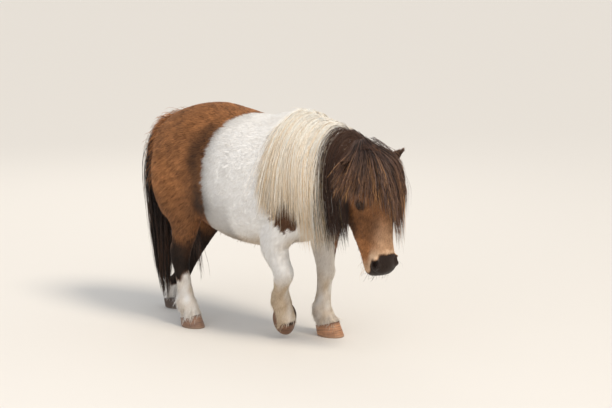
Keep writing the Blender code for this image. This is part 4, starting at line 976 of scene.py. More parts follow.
# %% Wands along paths
def wands(name, paths, out, wide, vary, shade, root_places, material, flat=0.45):
    """Three corners about each point of each path, narrowing to one tip; out is the flat side's way."""
    count, steps = paths.shape[:2]
    along = unit(np.gradient(paths, axis=1))
    across = unit(np.cross(along, out))
    out = np.cross(across, along)
    t = np.linspace(0, 1, steps)
    half = wide[:, None, None] / 2 * np.interp(t, [0, 0.12, 0.6, 0.9, 1], [0.6, 1, 0.9, 0.5, 0.2])[None, :, None]
    turn = draw.uniform(-0.6, 0.6, count)[:, None, None]
    edge = across * np.cos(turn) + out * np.sin(turn) * 0.5
    rings = np.stack([paths + edge * half, paths + out * half * flat * 1.6, paths - edge * half], axis=2)[:, :-1]
    points = np.concatenate([rings.reshape(count, -1, 3), paths[:, -1:]], axis=1)
    ring = np.arange(steps - 2)[:, None] * 3
    faces = []
    for k, n in ((0, 1), (1, 2), (2, 0)):
        faces.append(np.stack([ring + k, ring + n, ring + n + 3], -1).reshape(-1, 3))
        faces.append(np.stack([ring + k, ring + n + 3, ring + k + 3], -1).reshape(-1, 3))
    last, tip = (steps - 2) * 3, (steps - 1) * 3
    faces += [np.array([[last, last + 1, tip], [last + 1, last + 2, tip], [last + 2, last, tip], [0, 2, 1]])]
    faces = np.concatenate(faces)
    each = points.shape[1]
    faces = faces[None] + (np.arange(count) * each)[:, None, None]
    piece = mesh_piece(name, points, faces.reshape(-1, 3), material)
    place = np.concatenate([np.repeat(t[:-1], 3), [1.0]])
    hair = np.stack([np.repeat(vary, each), np.tile(place, count), np.repeat(shade, each)], -1)
    put_values(piece, "hair", hair)
    across_patch = np.concatenate([np.tile([-0.5, 0.0, 0.5], steps - 1), [0.0]])
    patch = np.stack([across_patch, place - 0.5], -1) * PATCH
    put_map(piece, "OFBake", (root_places[:, None] + patch[None]).reshape(-1, 2))
    return piece


def eased(paths, rounds=2):
    """Each inner point drawn towards the mean of its neighbours."""
    for _ in range(rounds):
        paths[:, 1:-1] += 0.5 * ((paths[:, :-2] + paths[:, 2:]) / 2 - paths[:, 1:-1])
    return paths


def long_hair(name, pairs, roughness=0.46, gold_from=None, tips=0.30, dullest=0.10):
    """Two hues by lock, from root to tip by tips: darker at the root when tips is above zero and lighter there when
    below, and a second pair by shade, from some way down if asked.
    """
    material = bpy.data.materials.new(name)
    material.use_nodes = True
    shader = material.node_tree.nodes["Principled BSDF"]
    hair = add(material, "ShaderNodeAttribute", attribute_name="hair").outputs["Vector"]
    vary, along, shade = add(material, "ShaderNodeSeparateXYZ", [(0, hair)]).outputs
    lift = add(material, "ShaderNodeMath", [(0, along), (2, vary)], operation="MULTIPLY_ADD", in_1=tips)
    share = add(material, "ShaderNodeMapRange", [(0, lift.outputs[0])], in_1=dullest, in_2=dullest + 1.0)
    colours = []
    for low, high in pairs:
        pair = add(material, "ShaderNodeMix", [(0, share.outputs[0])], data_type="RGBA")
        pair.inputs[6].default_value, pair.inputs[7].default_value = linear(low), linear(high)
        colours.append(pair.outputs[2])
    if gold_from is not None:
        lower = add(material, "ShaderNodeMapRange", [(0, along)], in_1=gold_from, in_2=gold_from + 0.45)
        shade = add(material, "ShaderNodeMath", [(0, shade), (1, lower.outputs[0])], operation="MULTIPLY").outputs[0]
    both = add(material, "ShaderNodeMix", [(0, shade), (6, colours[0]), (7, colours[1])], data_type="RGBA")
    material.node_tree.links.new(both.outputs[2], shader.inputs["Base Color"])
    shader.inputs["Roughness"].default_value = roughness
    shader.inputs["Specular IOR Level"].default_value = 0.35
    shader.inputs["Sheen Weight"].default_value = 0.03
    return material


# %% The mane's bed
GRID_X, STEP = np.arange(-0.13, 0.47, 0.006), 0.006


def looked_up(table, u, v):
    """A value between the four nearest ones of a grid."""
    u = np.clip(u, 0, table.shape[0] - 1.001)
    v = np.clip(v, 0, table.shape[1] - 1.001)
    i, j = u.astype(int), v.astype(int)
    s, t = u - i, v - j
    return ((1 - s) * (1 - t) * table[i, j] + s * (1 - t) * table[i + 1, j]
            + (1 - s) * t * table[i, j + 1] + s * t * table[i + 1, j + 1])


def cast(start, way):
    hit = skin_tree.ray_cast(Vector(start - MIDDLE), Vector(way))[0]
    return None if hit is None else np.array(hit) + MIDDLE


crest_y = np.interp(GRID_X, [-0.06, 0.06, 0.16, 0.25, 0.33, 0.40, 0.448], [0, 0, -0.006, -0.018, -0.034, -0.050, -0.066])
crest_z = np.array([cast(np.array([x, y, 1.4]), (0, 0, -1))[2] for x, y in zip(GRID_X, crest_y)])
AXIS_UNDER = 0.10  # how far under the crest the rays over the top of the neck aim


def walk_over(side):
    """From the crest outwards and down, at even steps: how far to the side, and how high.

    Rays towards a line under the crest give the round top, level rays the side below it. The
    reach never shrinks on the way down, because heavy hair hangs from the widest place."""
    table = np.zeros((len(GRID_X), 112, 2))
    for i, x in enumerate(GRID_X):
        middle = np.array([x, crest_y[i], crest_z[i] - AXIS_UNDER])
        line = []
        for turn in np.radians(np.arange(0, 91, 6)):
            way = np.array([0, side * math.sin(turn), math.cos(turn)])
            hit = cast(middle + way * 0.4, -way)
            if hit is not None:
                line.append((side * hit[1], hit[2]))
        for z in np.arange(middle[2] - 0.02, 0.24, -0.02):
            hit = cast(np.array([x, side * 0.6, z]), (0, -side, 0))
            line.append((line[-1][0] if hit is None or side * hit[1] < 0 else side * hit[1], z))
        line = np.array(line)
        line[:, 0] = np.maximum.accumulate(line[:, 0])
        far = np.concatenate([[0], np.cumsum(np.linalg.norm(np.diff(line, axis=0), axis=1))])
        for k in (0, 1):
            table[i, :, k] = np.interp(np.arange(112) * STEP, far, line[:, k])
    return table


OVER = {side: walk_over(side) for side in (-1, 1)}
print("the crest stands from", round(crest_z.min(), 3), "to", round(crest_z.max(), 3), "m")


def draped(root_x, drift, drop, lift, side, steps):
    """Paths that walk from the crest over the body's side, and stand off it by their lift."""
    q = np.linspace(0, 1, steps)
    x = root_x[:, None] + drift(q)
    walked = drop[:, None] * (0.45 * q + 0.55 * q**1.5)
    u, v = (x - GRID_X[0]) / 0.006, walked / STEP
    reach, z = looked_up(OVER[side][..., 0], u, v), looked_up(OVER[side][..., 1], u, v)
    paths = eased(np.stack([x, side * reach, z], -1), 2)
    slope = np.gradient(paths, axis=1)
    out = unit(np.stack([0 * x, side * np.abs(slope[..., 2]) + 1e-4, np.abs(slope[..., 1]) + 1e-5], -1))
    grow = np.interp(q, [0, 0.07, 0.22, 1], [-0.3, 0.55, 1.0, 0.9])
    start = np.where(q < 0.01, 0.004, 0.0)
    return paths + out * (lift[:, None] * grow - start)[..., None], out


# %% Mane
MANE_FROM, MANE_TO = 0.042, 0.432  # along the crest, forward of the withers
MANE_DARK = 0.61  # the share of the way from which the hair is dark
MANE_SIDES = {  # drop, and drift of the middle and the tip, by the share of the way
    -1: (([0, 0.12, 0.22, 0.33, 0.45, 0.62, 0.8, 1], [0.50, 0.53, 0.47, 0.45, 0.56, 0.53, 0.48, 0.41]),
         ([0, 0.3, 0.65, 1], [0.000, -0.030, -0.055, -0.075]), ([0, 0.3, 0.65, 1], [-0.060, -0.040, -0.035, -0.065])),
    1: (([0, 0.5, 1], [0.26, 0.34, 0.28]),
        ([0, 0.5, 1], [-0.05, -0.02, -0.01]), ([0, 0.5, 1], [-0.04, 0.01, 0.0])),
}
# painted sunlight: the mane is lighter at its roots on the crest and darker towards its tips, as if its top were lit
mane_hair = long_hair("horse_mane_hair_creamy", [("#E3C08A", "#FFFEF8"), ("#0C0705", "#553A2B")], tips=-0.50, dullest=-0.37)


def mane(name, side, count, clumps, layer, loose=1.0, fine=1.0):
    """Locks in clumps along the crest; layer is the lowest and highest stand over the body."""
    drops, middles, tips = MANE_SIDES[side]
    which = draw.integers(0, clumps, count)
    centre = (np.arange(clumps) + draw.uniform(0.0, 1.0, clumps)) / clumps
    way = np.clip(centre[which] + draw.normal(0, 0.4 / clumps + 0.010, count), 0, 1)
    root_x = MANE_FROM + (MANE_TO - MANE_FROM) * way
    pull = (centre[which] - way) * (MANE_TO - MANE_FROM) * 0.6
    sway = draw.normal(0, 0.013, clumps)[which] + draw.normal(0, 0.007 * loose, count)
    phase = draw.uniform(0, 2 * np.pi, clumps)[which]
    own = draw.uniform(0, 2 * np.pi, count)
    wave = draw.uniform(0.002, 0.005, clumps)[which]
    middle, tip = np.interp(way, *middles), np.interp(way, *tips)
    fanned = 1 + 0.35 * draw.normal(size=count) * ramp(way, 0.35, 0.0)

    def drift(q):
        bow = 4 * q * (1 - q)
        base = (middle * fanned)[:, None] * bow * 0.9 + tip[:, None] * q**2
        ripple = wave[:, None] * np.sin(phase[:, None] + 9 * q) * q
        ripple = ripple + 0.0016 * loose * np.sin(own[:, None] + 23 * q) * q
        return base + ripple + sway[:, None] * q**1.3 + pull[:, None] * q

    drop = np.interp(way, *drops) * draw.uniform(0.84, 1.05, clumps)[which] * draw.uniform(0.74, 1.03, count)
    drop = np.where(draw.random(count) < 0.12, drop * draw.uniform(0.4, 0.8, count), drop)
    share = draw.random(count)
    lift = layer[0] + (layer[1] - layer[0]) * (0.55 * share + 0.45 * draw.random(clumps)[which])
    lift = lift * (1 + 0.6 * fold(way - 0.22, 0.2))
    paths, out = draped(root_x, drift, drop, lift, side, 12)
    dark = way + 0.035 * draw.normal(size=clumps)[which] + 0.02 * draw.normal(size=count)
    dark = ramp(dark, MANE_DARK, MANE_DARK + 0.03)
    dark = np.where((draw.random(count) < 0.02) & (dark > 0.5), 0.15, dark)
    vary = np.clip(0.62 + 0.13 * draw.normal(size=clumps)[which] + 0.24 * draw.normal(size=count), 0, 1)
    places = np.stack([0.01 + 0.98 * way, 0.01 + 0.98 * share], -1)
    wide = fine * draw.uniform(0.0013, 0.0027, count)
    return kept(wands(name, paths, out, wide, vary, dark, places, mane_hair), "coat_neck_mane")


thin = 1
mane("mane_right_under", -1, 2550 // thin, 120, (0.003, 0.013), fine=1.3)
mane("mane_right_over", -1, 2900 // thin, 260, (0.011, 0.026))
mane("mane_right_loose", -1, 700 // thin, 300, (0.014, 0.034), loose=2.6, fine=0.7)
mane("mane_left", 1, 1700 // thin, 90, (0.003, 0.018), fine=1.2)

# %% Forelock
FORELOCK_AXIS = -0.080  # out of the face, of the line that the forelock is wound about
GRID_A, GRID_TURN = np.arange(-0.10, 0.46, 0.008), np.radians(np.arange(-180, 181, 5))


def head_reach():
    """The head's radius about a line down its middle, by the way down and round."""
    table = np.zeros((len(GRID_A), len(GRID_TURN)))
    for i, a in enumerate(GRID_A):
        for j, turn in enumerate(GRID_TURN):
            middle = from_head((a, FORELOCK_AXIS, 0))
            way = from_head((a, FORELOCK_AXIS + math.cos(turn), math.sin(turn))) - middle
            hit = cast(middle + way * 0.4, -way)
            table[i, j] = 0.06 if hit is None else np.linalg.norm(hit - middle)
    return table


HEAD_REACH = head_reach()
forelock_hair = long_hair("horse_forelock_hair_brown", [("#0D0605", "#775A4D"), ("#45210F", "#ECAE70")], gold_from=0.25)


def forelock(name, count, clumps, layer, loose=1.0):
    """Locks from the poll that fan over the brow; the outer ones are shorter and stand away on the left."""
    which = draw.integers(0, clumps, count)
    centre = draw.uniform(-1, 1, clumps)
    way = np.clip(centre[which] + draw.normal(0, 0.07, count), -1, 1)
    back = draw.random(count)
    q = np.linspace(0, 1, 12)
    start = -0.060 + 0.080 * back
    length = 0.408 - 0.070 * np.abs(way) - 0.122 * ramp(way, -0.24, 0.12) - 0.050 * ramp(way, 0.05, 0.35)
    length = length - 0.115 * ramp(way, -0.28, -0.75)
    length = length * draw.uniform(0.82, 1.05, clumps)[which] * draw.uniform(0.68, 1.03, count)
    a = start[:, None] + length[:, None] * q
    wave = draw.normal(0, 0.05, clumps)[which] + draw.normal(0, 0.02 * loose, count)
    turn = math.radians(64) * way[:, None] + (math.radians(34) * way + wave)[:, None] * q**0.7
    turn = turn + 0.02 * loose * np.sin(draw.uniform(0, 6.28, count)[:, None] + 14 * q) * q
    turn = turn + (centre[which] - way)[:, None] * 0.9 * q**1.5
    u, v = (a - GRID_A[0]) / 0.008, (turn - GRID_TURN[0]) / math.radians(5)
    reach = looked_up(HEAD_REACH, u, v)
    held = np.maximum.accumulate(reach, axis=1)
    reach = held - (held - reach) * 0.35 * q
    share = draw.random(count)
    lift = layer[0] + (layer[1] - layer[0]) * (0.5 * share + 0.5 * draw.random(clumps)[which])
    lift = lift + 0.038 * ramp(way, -0.35, -0.95) * draw.uniform(0.3, 1.3, clumps)[which]
    flare = 0.052 * ramp(way, -0.22, 0.15) * draw.uniform(0.4, 1.2, clumps)[which]
    grow = np.interp(q, [0, 0.06, 0.35, 1], [-0.3, 0.35, 1, 1])
    reach = reach + lift[:, None] * grow + flare[:, None] * q
    local = np.stack([a, FORELOCK_AXIS + reach * np.cos(turn), reach * np.sin(turn)], -1)
    out = np.stack([0 * a, np.cos(turn), np.sin(turn)], -1) @ HEAD_AXES.T
    paths = eased(from_head(local), 2)
    vary = np.clip(0.37 + 0.24 * draw.normal(size=clumps)[which] + 0.34 * draw.normal(size=count), 0, 1)
    gold = np.clip(0.12 + 0.42 * draw.normal(size=clumps)[which] + 0.25 * draw.normal(size=count), 0, 1)
    places = np.stack([0.5 + 0.48 * way, 0.02 + 0.96 * back], -1)
    wide = draw.uniform(0.0012, 0.0025, count)
    return kept(wands(name, paths, out, wide, vary, gold, places, forelock_hair), "coat_head_forelock")


forelock("forelock", 2500 // thin, 170, (0.003, 0.024))
forelock("forelock_loose", 380 // thin, 190, (0.016, 0.034), loose=3.0)

# %% Tail
TAIL_FALL = [  # middle, half depth and half width of the fall of hair, from the dock to the tip
    (-0.700, 0.000, 0.855, 0.014, 0.020),
    (-0.745, -0.001, 0.846, 0.026, 0.034),
    (-0.774, -0.003, 0.790, 0.034, 0.046),
    (-0.781, -0.006, 0.700, 0.040, 0.056),
    (-0.771, -0.008, 0.590, 0.043, 0.062),
    (-0.759, -0.010, 0.460, 0.042, 0.060),
    (-0.747, -0.014, 0.340, 0.037, 0.054),
    (-0.735, -0.020, 0.230, 0.030, 0.045),
    (-0.723, -0.026, 0.140, 0.021, 0.034),
    (-0.713, -0.030, 0.062, 0.010, 0.016),
]


def tail(name, count, clumps, spread=1.0, ends=(0.80, 1.04)):
    """Locks about the dock that fall inside one long outline, from many heights of root."""
    which = draw.integers(0, clumps, count)
    rows = smooth_rows(TAIL_FALL, 80)
    turn = draw.uniform(-np.pi, np.pi, clumps)[which] + draw.normal(0, 0.22, count)
    start = 0.46 * draw.random(clumps)[which] * draw.uniform(0.8, 1.1, count)
    end = np.minimum(start + draw.uniform(0.40, 0.80, count), draw.uniform(*ends, clumps)[which])
    end = end * draw.uniform(0.92, 1.0, count)
    q = np.linspace(0, 1, 12)
    u = start[:, None] + (end - start)[:, None] * q
    row = np.stack([np.interp(u, np.linspace(0, 1, 80), rows[:, k]) for k in range(5)], -1)
    most = np.sqrt(draw.uniform(0.05, 1.0, clumps))[which] * draw.uniform(0.85, 1.08, count) * spread
    reach = 0.30 + (most[:, None] - 0.30) * np.clip(q * 2.6, 0, 1)
    drift = turn[:, None] + draw.normal(0, 0.25, clumps)[which][:, None] * q
    drift = drift + 0.10 * np.sin(9 * q + turn[:, None] * 5) + draw.normal(0, 0.10, count)[:, None] * q
    out = np.stack([np.cos(drift), np.sin(drift), 0 * drift], -1)
    paths = row[..., :3] + np.stack([out[..., 0] * row[..., 3], out[..., 1] * row[..., 4], 0 * u], -1) * reach[..., None]
    flat = paths.reshape(-1, 3)
    near, way = nearest_skin(flat)
    gap = ((flat - near) * way).sum(1)
    close = (np.linalg.norm(flat - near, axis=1) < 0.08) & (np.tile(q, count) > 0.1)
    flat = flat + way * (np.clip(0.006 - gap, 0, 0.06) * close)[:, None]
    paths = eased(flat.reshape(paths.shape), 2)
    vary = np.clip(0.42 + 0.18 * draw.normal(size=clumps)[which] + 0.22 * draw.normal(size=count), 0, 1)
    brown = np.clip(0.12 + 0.34 * draw.normal(size=clumps)[which] + 0.15 * draw.normal(size=count), 0, 1)
    places = np.stack([0.5 + 0.48 * np.sin(turn / 2), 0.02 + 0.96 * start / 0.5], -1)
    return wands(name, paths, out, draw.uniform(0.0014, 0.0027, count), vary, brown, places, tail_hair)


tail_hair = long_hair("horse_tail_hair_black", [("#080504", "#30211A"), ("#341A0E", "#8E5F3B")], gold_from=0.40)
kept(tail("tail_hair", 2150 // thin, 150), "hair_tail", "tail")
kept(tail("tail_loose", 560 // thin, 260, spread=1.32, ends=(0.5, 1.02)), "hair_tail")


def wisps(name, count):
    """A few long hairs of the tail that have blown forward between the hind legs."""
    which = draw.integers(0, 5, count)
    lead = draw.normal(0, 0.010, (5, 3))[which]
    q = np.linspace(0, 1, 12)[None, :, None]
    start = np.array([-0.640, 0.0, 0.500]) + draw.normal(0, 0.008, (count, 3)) + lead * 0.5
    end = np.array([-0.535, -0.010, 0.190]) + lead * 2.4 + draw.normal(0, 0.006, (count, 3))
    bow = np.array([0.035, -0.010, 0.020]) * draw.uniform(0.5, 1.5, (count, 1))
    length = draw.uniform(0.55, 1.0, (count, 1, 1))
    paths = start[:, None] + (end - start)[:, None] * q * length + bow[:, None] * np.sin(np.pi * q)
    paths = paths + 0.003 * np.sin(9 * q + draw.uniform(0, 6, (count, 1, 1)))
    out = np.broadcast_to(np.array([0.6, -0.8, 0.0]), paths.shape)
    vary = np.clip(draw.normal(0.45, 0.2, count), 0, 1)
    places = np.stack([draw.random(count), np.full(count, 0.99)], -1)
    return wands(name, paths, out, draw.uniform(0.0010, 0.0020, count), vary, draw.random(count) * 0.8, places, tail_hair)


kept(wisps("tail_wisps", 60), "hair_tail")

# %% [markdown]
# ## Fringes
# Where the coat is longer it breaks the outline: at the root of the tail, under the belly and the
# jaw, behind the elbows and the thighs, and as feather on the fetlocks. These are finer wands in the
# coat's own colours, rooted over the skin like the tufts. A few stiff hairs are whiskers.

# %% Fringes in the coat's colours
def fringe(name, weight, count, length, stand, hang, wide, unwrap, slot, material=guard_hair, steps=5, shade=None):
    """Paths along the lie that rise by a share of their length and are drawn down by their weight."""
    root, out = scatter(weight, count)
    lie = lie_of(root, out)
    size = length * draw.uniform(0.6, 1.25, count)[:, None, None]
    q = np.linspace(0, 1, steps)[None, :, None]
    swing = draw.normal(0, 0.22, (count, 1, 1))
    gather = np.stack([wander(root, 0.03, k) for k in (31, 32, 33)], -1)[:, None] * 0.28
    way = lie[:, None] + np.cross(lie, out)[:, None] * swing + gather
    up = out[:, None] * stand * draw.uniform(0.4, 1.4, (count, 1, 1))
    paths = root[:, None] + size * (way * q + up * np.sin(q * 1.9) + np.array([0, 0, -1.0]) * hang * q**2)
    paths[:, 0] -= out * 0.002
    paths[..., 2] = np.maximum(paths[..., 2], 0.002)
    vary = np.clip(0.55 + 0.18 * draw.normal(size=count) + 0.15 * wander(root, 0.02, 34), 0, 1)
    piece = wands(name, paths, np.repeat(out[:, None], steps, 1), wide * draw.uniform(0.7, 1.3, count), vary,
                  np.zeros(count) if shade is None else shade(root), unwrap(root), material)
    shares = markings(root)
    each = 3 * (steps - 1) + 1
    put_values(piece, "marks", np.repeat(np.stack([shares["bay"], shares["dark"], shares["cream"]], -1), each, 0))
    put_values(piece, "mealy_and_lit_face", np.repeat(shares["pale"], each))
    return kept(piece, slot)


def by_tail(p):
    """Round the root of the tail and down the back of the thighs."""
    head_of_tail = fold(np.linalg.norm((p - (-0.700, 0, 0.85)) / (0.06, 0.08, 0.06), axis=1), 1.0)
    thighs = 0.05 * ramp(p[:, 0], -0.640, -0.690) * ramp(p[:, 2], 0.52, 0.58)
    return head_of_tail + thighs


def under_belly(p):
    """The belly's line, the elbows, the chest and the stifles."""
    trunk = trunk_share(p)
    belly = ramp(p[:, 2], 0.46, 0.41) * ramp(np.abs(p[:, 1]), 0.20, 0.10)
    chest = ramp(p[:, 0], 0.16, 0.22) * ramp(p[:, 2], 0.66, 0.56)
    leg = body_parts(p)["legs"]
    back_of_arm = ramp(p[:, 2], 0.36, 0.42) * leg * 0.5
    return trunk * (belly + chest) + back_of_arm


def on_feather(p):
    """The backs of the fetlocks and the hair over the coronets."""
    gap = np.min([np.linalg.norm(p - np.array(place), axis=1) for place in FETLOCKS], axis=0)
    return fold(gap, 0.040) + 1.6 * ramp(p[:, 2], 0.100, 0.085) * ramp(p[:, 2], 0.045, 0.060)


FETLOCKS = [(0.020, 0.120, 0.100), (-0.070, -0.058, 0.165), (-0.545, -0.128, 0.105), (-0.812, 0.104, 0.100)]


def on_jaw(p):
    """The jaw's lower edge and the chin."""
    a, b, c = to_head(p).T
    return body_parts(p)["head"] * ramp(b, -0.150, -0.185) * ramp(a, 0.08, 0.14) * ramp(a, 0.36, 0.30)


def on_crest(p):
    """The line of the crest, where the mane parts."""
    off = np.abs(p[:, 1] - np.interp(p[:, 0], GRID_X, crest_y))
    under = np.interp(p[:, 0], GRID_X, crest_z) - p[:, 2]
    return fold(off, 0.014) * ramp(under, 0.03, 0.01) * ramp(p[:, 0], 0.03, 0.06) * ramp(p[:, 0], 0.468, 0.45)


def crest_shade(p):
    return ramp(p[:, 0], MANE_FROM + (MANE_TO - MANE_FROM) * MANE_DARK - 0.01, 0.30)


def on_muzzle(p):
    """The lips, the chin and the wings of the nostrils."""
    a, b, c = to_head(p).T
    return body_parts(p)["head"] * ramp(a, 0.385, 0.42) * (0.3 + ramp(b, -0.06, -0.10))


fringe("fringe_tail_root", by_tail, 3400 // thin, 0.050, 0.55, 0.16, 0.0021, unroll_trunk, "coat_body")
fringe("fringe_belly_chest", under_belly, 2600 // thin, 0.022, 0.10, 0.20, 0.0016, unroll_trunk, "coat_body")
fringe("fringe_feather", on_feather, 2600 // thin, 0.026, 0.14, 0.12, 0.0015, unroll_legs, "coat_forelegs")
fringe("fringe_jaw", on_jaw, 700 // thin, 0.024, 0.25, 0.40, 0.0013, unroll_head, "coat_head_forelock")
fringe("mane_crest", on_crest, 900 // thin, 0.060, 0.32, 0.62, 0.0019, unroll_trunk, "coat_neck_mane",
       material=mane_hair, steps=7, shade=crest_shade)
fringe("whiskers", on_muzzle, 70, 0.034, 0.75, 0.10, 0.0007, unroll_head, "coat_head_forelock")

# %% [markdown]
# ## Eyes
# A pony's eye is a large dark ball with a level pupil, set at the side of the head under a heavy
# upper lid. The ball's pole looks out of the head, so its colours are rings about the pole. The
# clear cornea gives a sharp highlight, which the shader's clear coat does here.

# %% Eyeballs
eye_stuff = bpy.data.materials.new("wet_cornea_over_brown_iris")
eye_stuff.use_nodes = True
shader = eye_stuff.node_tree.nodes["Principled BSDF"]
gaze = add(eye_stuff, "ShaderNodeAttribute", attribute_name="gaze").outputs["Vector"]
rays, lengthwise, ring = add(eye_stuff, "ShaderNodeSeparateXYZ", [(0, gaze)]).outputs
streaks = add(eye_stuff, "ShaderNodeTexNoise", [("W", rays)], noise_dimensions="1D")
streaks.inputs["Scale"].default_value = 9.0
iris = add(eye_stuff, "ShaderNodeMix", [(0, streaks.outputs[0])], data_type="RGBA")
iris.inputs[6].default_value, iris.inputs[7].default_value = linear("#150B06"), linear("#432716")
pupil = add(eye_stuff, "ShaderNodeMapRange", [(0, lengthwise)], in_1=0.92, in_2=1.06)
seen = add(eye_stuff, "ShaderNodeMix", [(0, pupil.outputs[0]), (7, iris.outputs[2])], data_type="RGBA")
seen.inputs[6].default_value = linear("#050304")
edge = add(eye_stuff, "ShaderNodeMapRange", [(0, ring)], in_1=0.90, in_2=1.04)
white_of_eye = add(eye_stuff, "ShaderNodeMix", [(0, edge.outputs[0]), (6, seen.outputs[2])], data_type="RGBA")
white_of_eye.inputs[7].default_value = linear("#3A2A22")
eye_stuff.node_tree.links.new(white_of_eye.outputs[2], shader.inputs["Base Color"])
shader.inputs["Roughness"].default_value = 0.25
shader.inputs["Specular IOR Level"].default_value = 0.05
shader.inputs["Coat IOR"].default_value = 1.38
shader.inputs["Coat Weight"].default_value = 0.8
shader.inputs["Coat Roughness"].default_value = 0.03
IRIS_RADIUS, PUPIL_LONG, PUPIL_WIDE = 0.0125, 0.0072, 0.0040


def eye_frame(side):
    """The ball's middle and radius from its node, and the ways out, along and up there."""
    low, high = (np.array(corner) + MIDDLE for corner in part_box("eye_" + side))
    middle, radius = (low + high) / 2, float((high - low).mean() / 2)
    mirror = -1 if side == "left" else 1
    out = unit(from_head((0.10, 0.22, 0.97 * mirror)) - POLL)
    long = from_head((math.cos(0.35), -math.sin(0.35), 0)) - POLL
    long = unit(long - out * (long @ out))
    up = np.cross(out, long) * mirror
    return middle, radius, out, long, up


def eyeball(side):
    """A ball of rings about its pole; the cornea swells by a bell about the pole."""
    middle, radius, out, long, up = eye_frame(side)
    tall = np.linspace(0.0, np.pi, 28)[:, None] * np.ones(40)
    round_ = np.linspace(0, 2 * np.pi, 40, endpoint=False)[None] * np.ones((28, 1))
    swell = radius * 0.975 * (1 + 0.035 * fold(tall, 0.45))
    x, y, z = (swell * np.sin(tall) * np.cos(round_), swell * np.sin(tall) * np.sin(round_), swell * np.cos(tall))
    points = middle + x[..., None] * long + y[..., None] * up + z[..., None] * out
    name = "eyeball_" + side
    faces = grid_faces(28, 40)
    faces = faces if np.dot(np.cross(long, up), out) < 0 else faces[:, ::-1]
    piece = mesh_piece(name, points, faces, eye_stuff)
    pupil = np.hypot(x / PUPIL_LONG, y / PUPIL_WIDE) + 4 * (z < 0)
    ring = np.hypot(x, y) / IRIS_RADIUS + 4 * (z < 0)
    put_values(piece, "gaze", np.stack([round_, pupil, ring], -1).reshape(-1, 3))
    return kept(piece, "eye", "eye_" + side)


for side in ("left", "right"):
    eyeball(side)


# %% [markdown]
# ## Lids
# The lids are the skin itself, drawn over the ball: thick dark rims with a crease above and soft
# wrinkles below. Each pair is one ring shaped patch, from the opening's edge out to where it dips
# into the face. Its height is the larger of the ball's, made thicker, and the skin's, rounded where
# the two meet.

# %% Lid patches
OPENING_LONG, OPENING_UP, OPENING_DOWN, LID_REACH = 0.0172, 0.0108, 0.0088, 0.0240


def lids(side, rows=26, around=72):
    """Rings from the almond opening outwards; a rounded maximum joins the ball's height to the skin's."""
    middle, radius, out, long, up = eye_frame(side)
    turn = np.linspace(0, 2 * np.pi, around, endpoint=False)
    tall = np.where(np.sin(turn) > 0, OPENING_UP, OPENING_DOWN) * np.abs(np.sin(turn)) ** 1.25
    across = OPENING_LONG * np.cos(turn)
    slit = np.stack([across, np.sign(np.sin(turn)) * tall], -1)
    away = unit(slit + 1e-9)
    reach = np.concatenate([[-0.0006, 0.0, 0.0009, 0.0019], 0.0019 + LID_REACH * np.linspace(0, 1, rows - 3)[1:] ** 1.15])
    flat = slit[None] + away[None] * reach[:, None, None]
    r = np.linalg.norm(flat, axis=-1)
    thick = np.interp(reach, [-0.0006, 0.0, 0.0009, 0.0019, 0.02], [-0.0008, 0.0003, 0.0024, 0.0030, 0.0026])
    ball = np.sqrt(np.maximum((radius + thick[:, None]) ** 2 - r**2, 0)) - 0.004 * ramp(r, radius, radius + 0.01)
    base = middle + flat[..., :1] * long + flat[..., 1:] * up
    starts = (base + out * 0.06).reshape(-1, 3)
    hits = [cast(p, -out) for p in starts]
    skin_height = np.array([0.06 - np.linalg.norm(h - p) if h is not None else 0.0 for h, p in zip(hits, starts)])
    skin_height = skin_height.reshape(r.shape)
    soft = 0.0018
    height = soft * np.logaddexp(ball / soft, (skin_height + 0.0002) / soft)
    height[:4] = ball[:4]
    height[4] = 0.7 * ball[4] + 0.3 * height[4]
    upper = np.sin(turn)[None] > 0
    grow = reach[:, None]
    crease = fold(grow - 0.0085, 0.0016) * 0.0014 + fold(grow - 0.0135, 0.0014) * 0.0007
    bags = fold(grow - 0.0070, 0.0015) * 0.0008 + fold(grow - 0.0110, 0.0014) * 0.0006
    height = height - np.where(upper, crease, bags) * np.abs(np.sin(turn))[None] ** 0.5
    last = ramp(grow, LID_REACH * 0.80, LID_REACH)
    height = height * (1 - last) + (skin_height - 0.0012) * last
    points = base + height[..., None] * out
    faces = grid_faces(rows, around)
    faces = faces if np.dot(np.cross(long, up), out) < 0 else faces[:, ::-1]
    piece = mesh_piece("lids_" + side, points, faces, pelt)
    put_markings(piece, points.reshape(-1, 3))
    return kept(piece, "coat_head_forelock"), points, out


lid_rims = {side: lids(side) for side in ("left", "right")}


def lashes(side, count=60):
    """Short curved wands from the upper rim, out and down."""
    _, points, out = lid_rims[side]
    rim = points[3]
    up = eye_frame(side)[4]
    pick = draw.uniform(2, 34, count)
    i = pick.astype(int)
    root = rim[i] + (rim[i + 1] - rim[i]) * (pick - i)[:, None]
    q = np.linspace(0, 1, 6)[None, :, None]
    size = draw.uniform(0.010, 0.016, (count, 1, 1))
    sweep = (eye_frame(side)[3] * ((pick - 18) / 34)[:, None])[:, None]
    paths = root[:, None] + size * (out * q * 1.0 + sweep * q - up * (0.5 * q - 0.9 * q**2))
    vary = np.full(count, 0.3)
    places = np.stack([pick / 36, np.full(count, 0.5)], -1)
    return kept(wands("lashes_" + side, paths, np.broadcast_to(up, paths.shape), np.full(count, 0.0006), vary,
                      np.zeros(count), places, tail_hair), "coat_head_forelock")


for side in ("left", "right"):
    lashes(side)

# %% [markdown]
# ## Ears
# An ear is a leaf of skin rolled into a cup: nearly closed at the base, open in front from a quarter
# of the way up, and drawn to a point. The grid runs up the ear one way, and round its outside and
# back along its inside the other. Hair lines the rims and fills the cup.

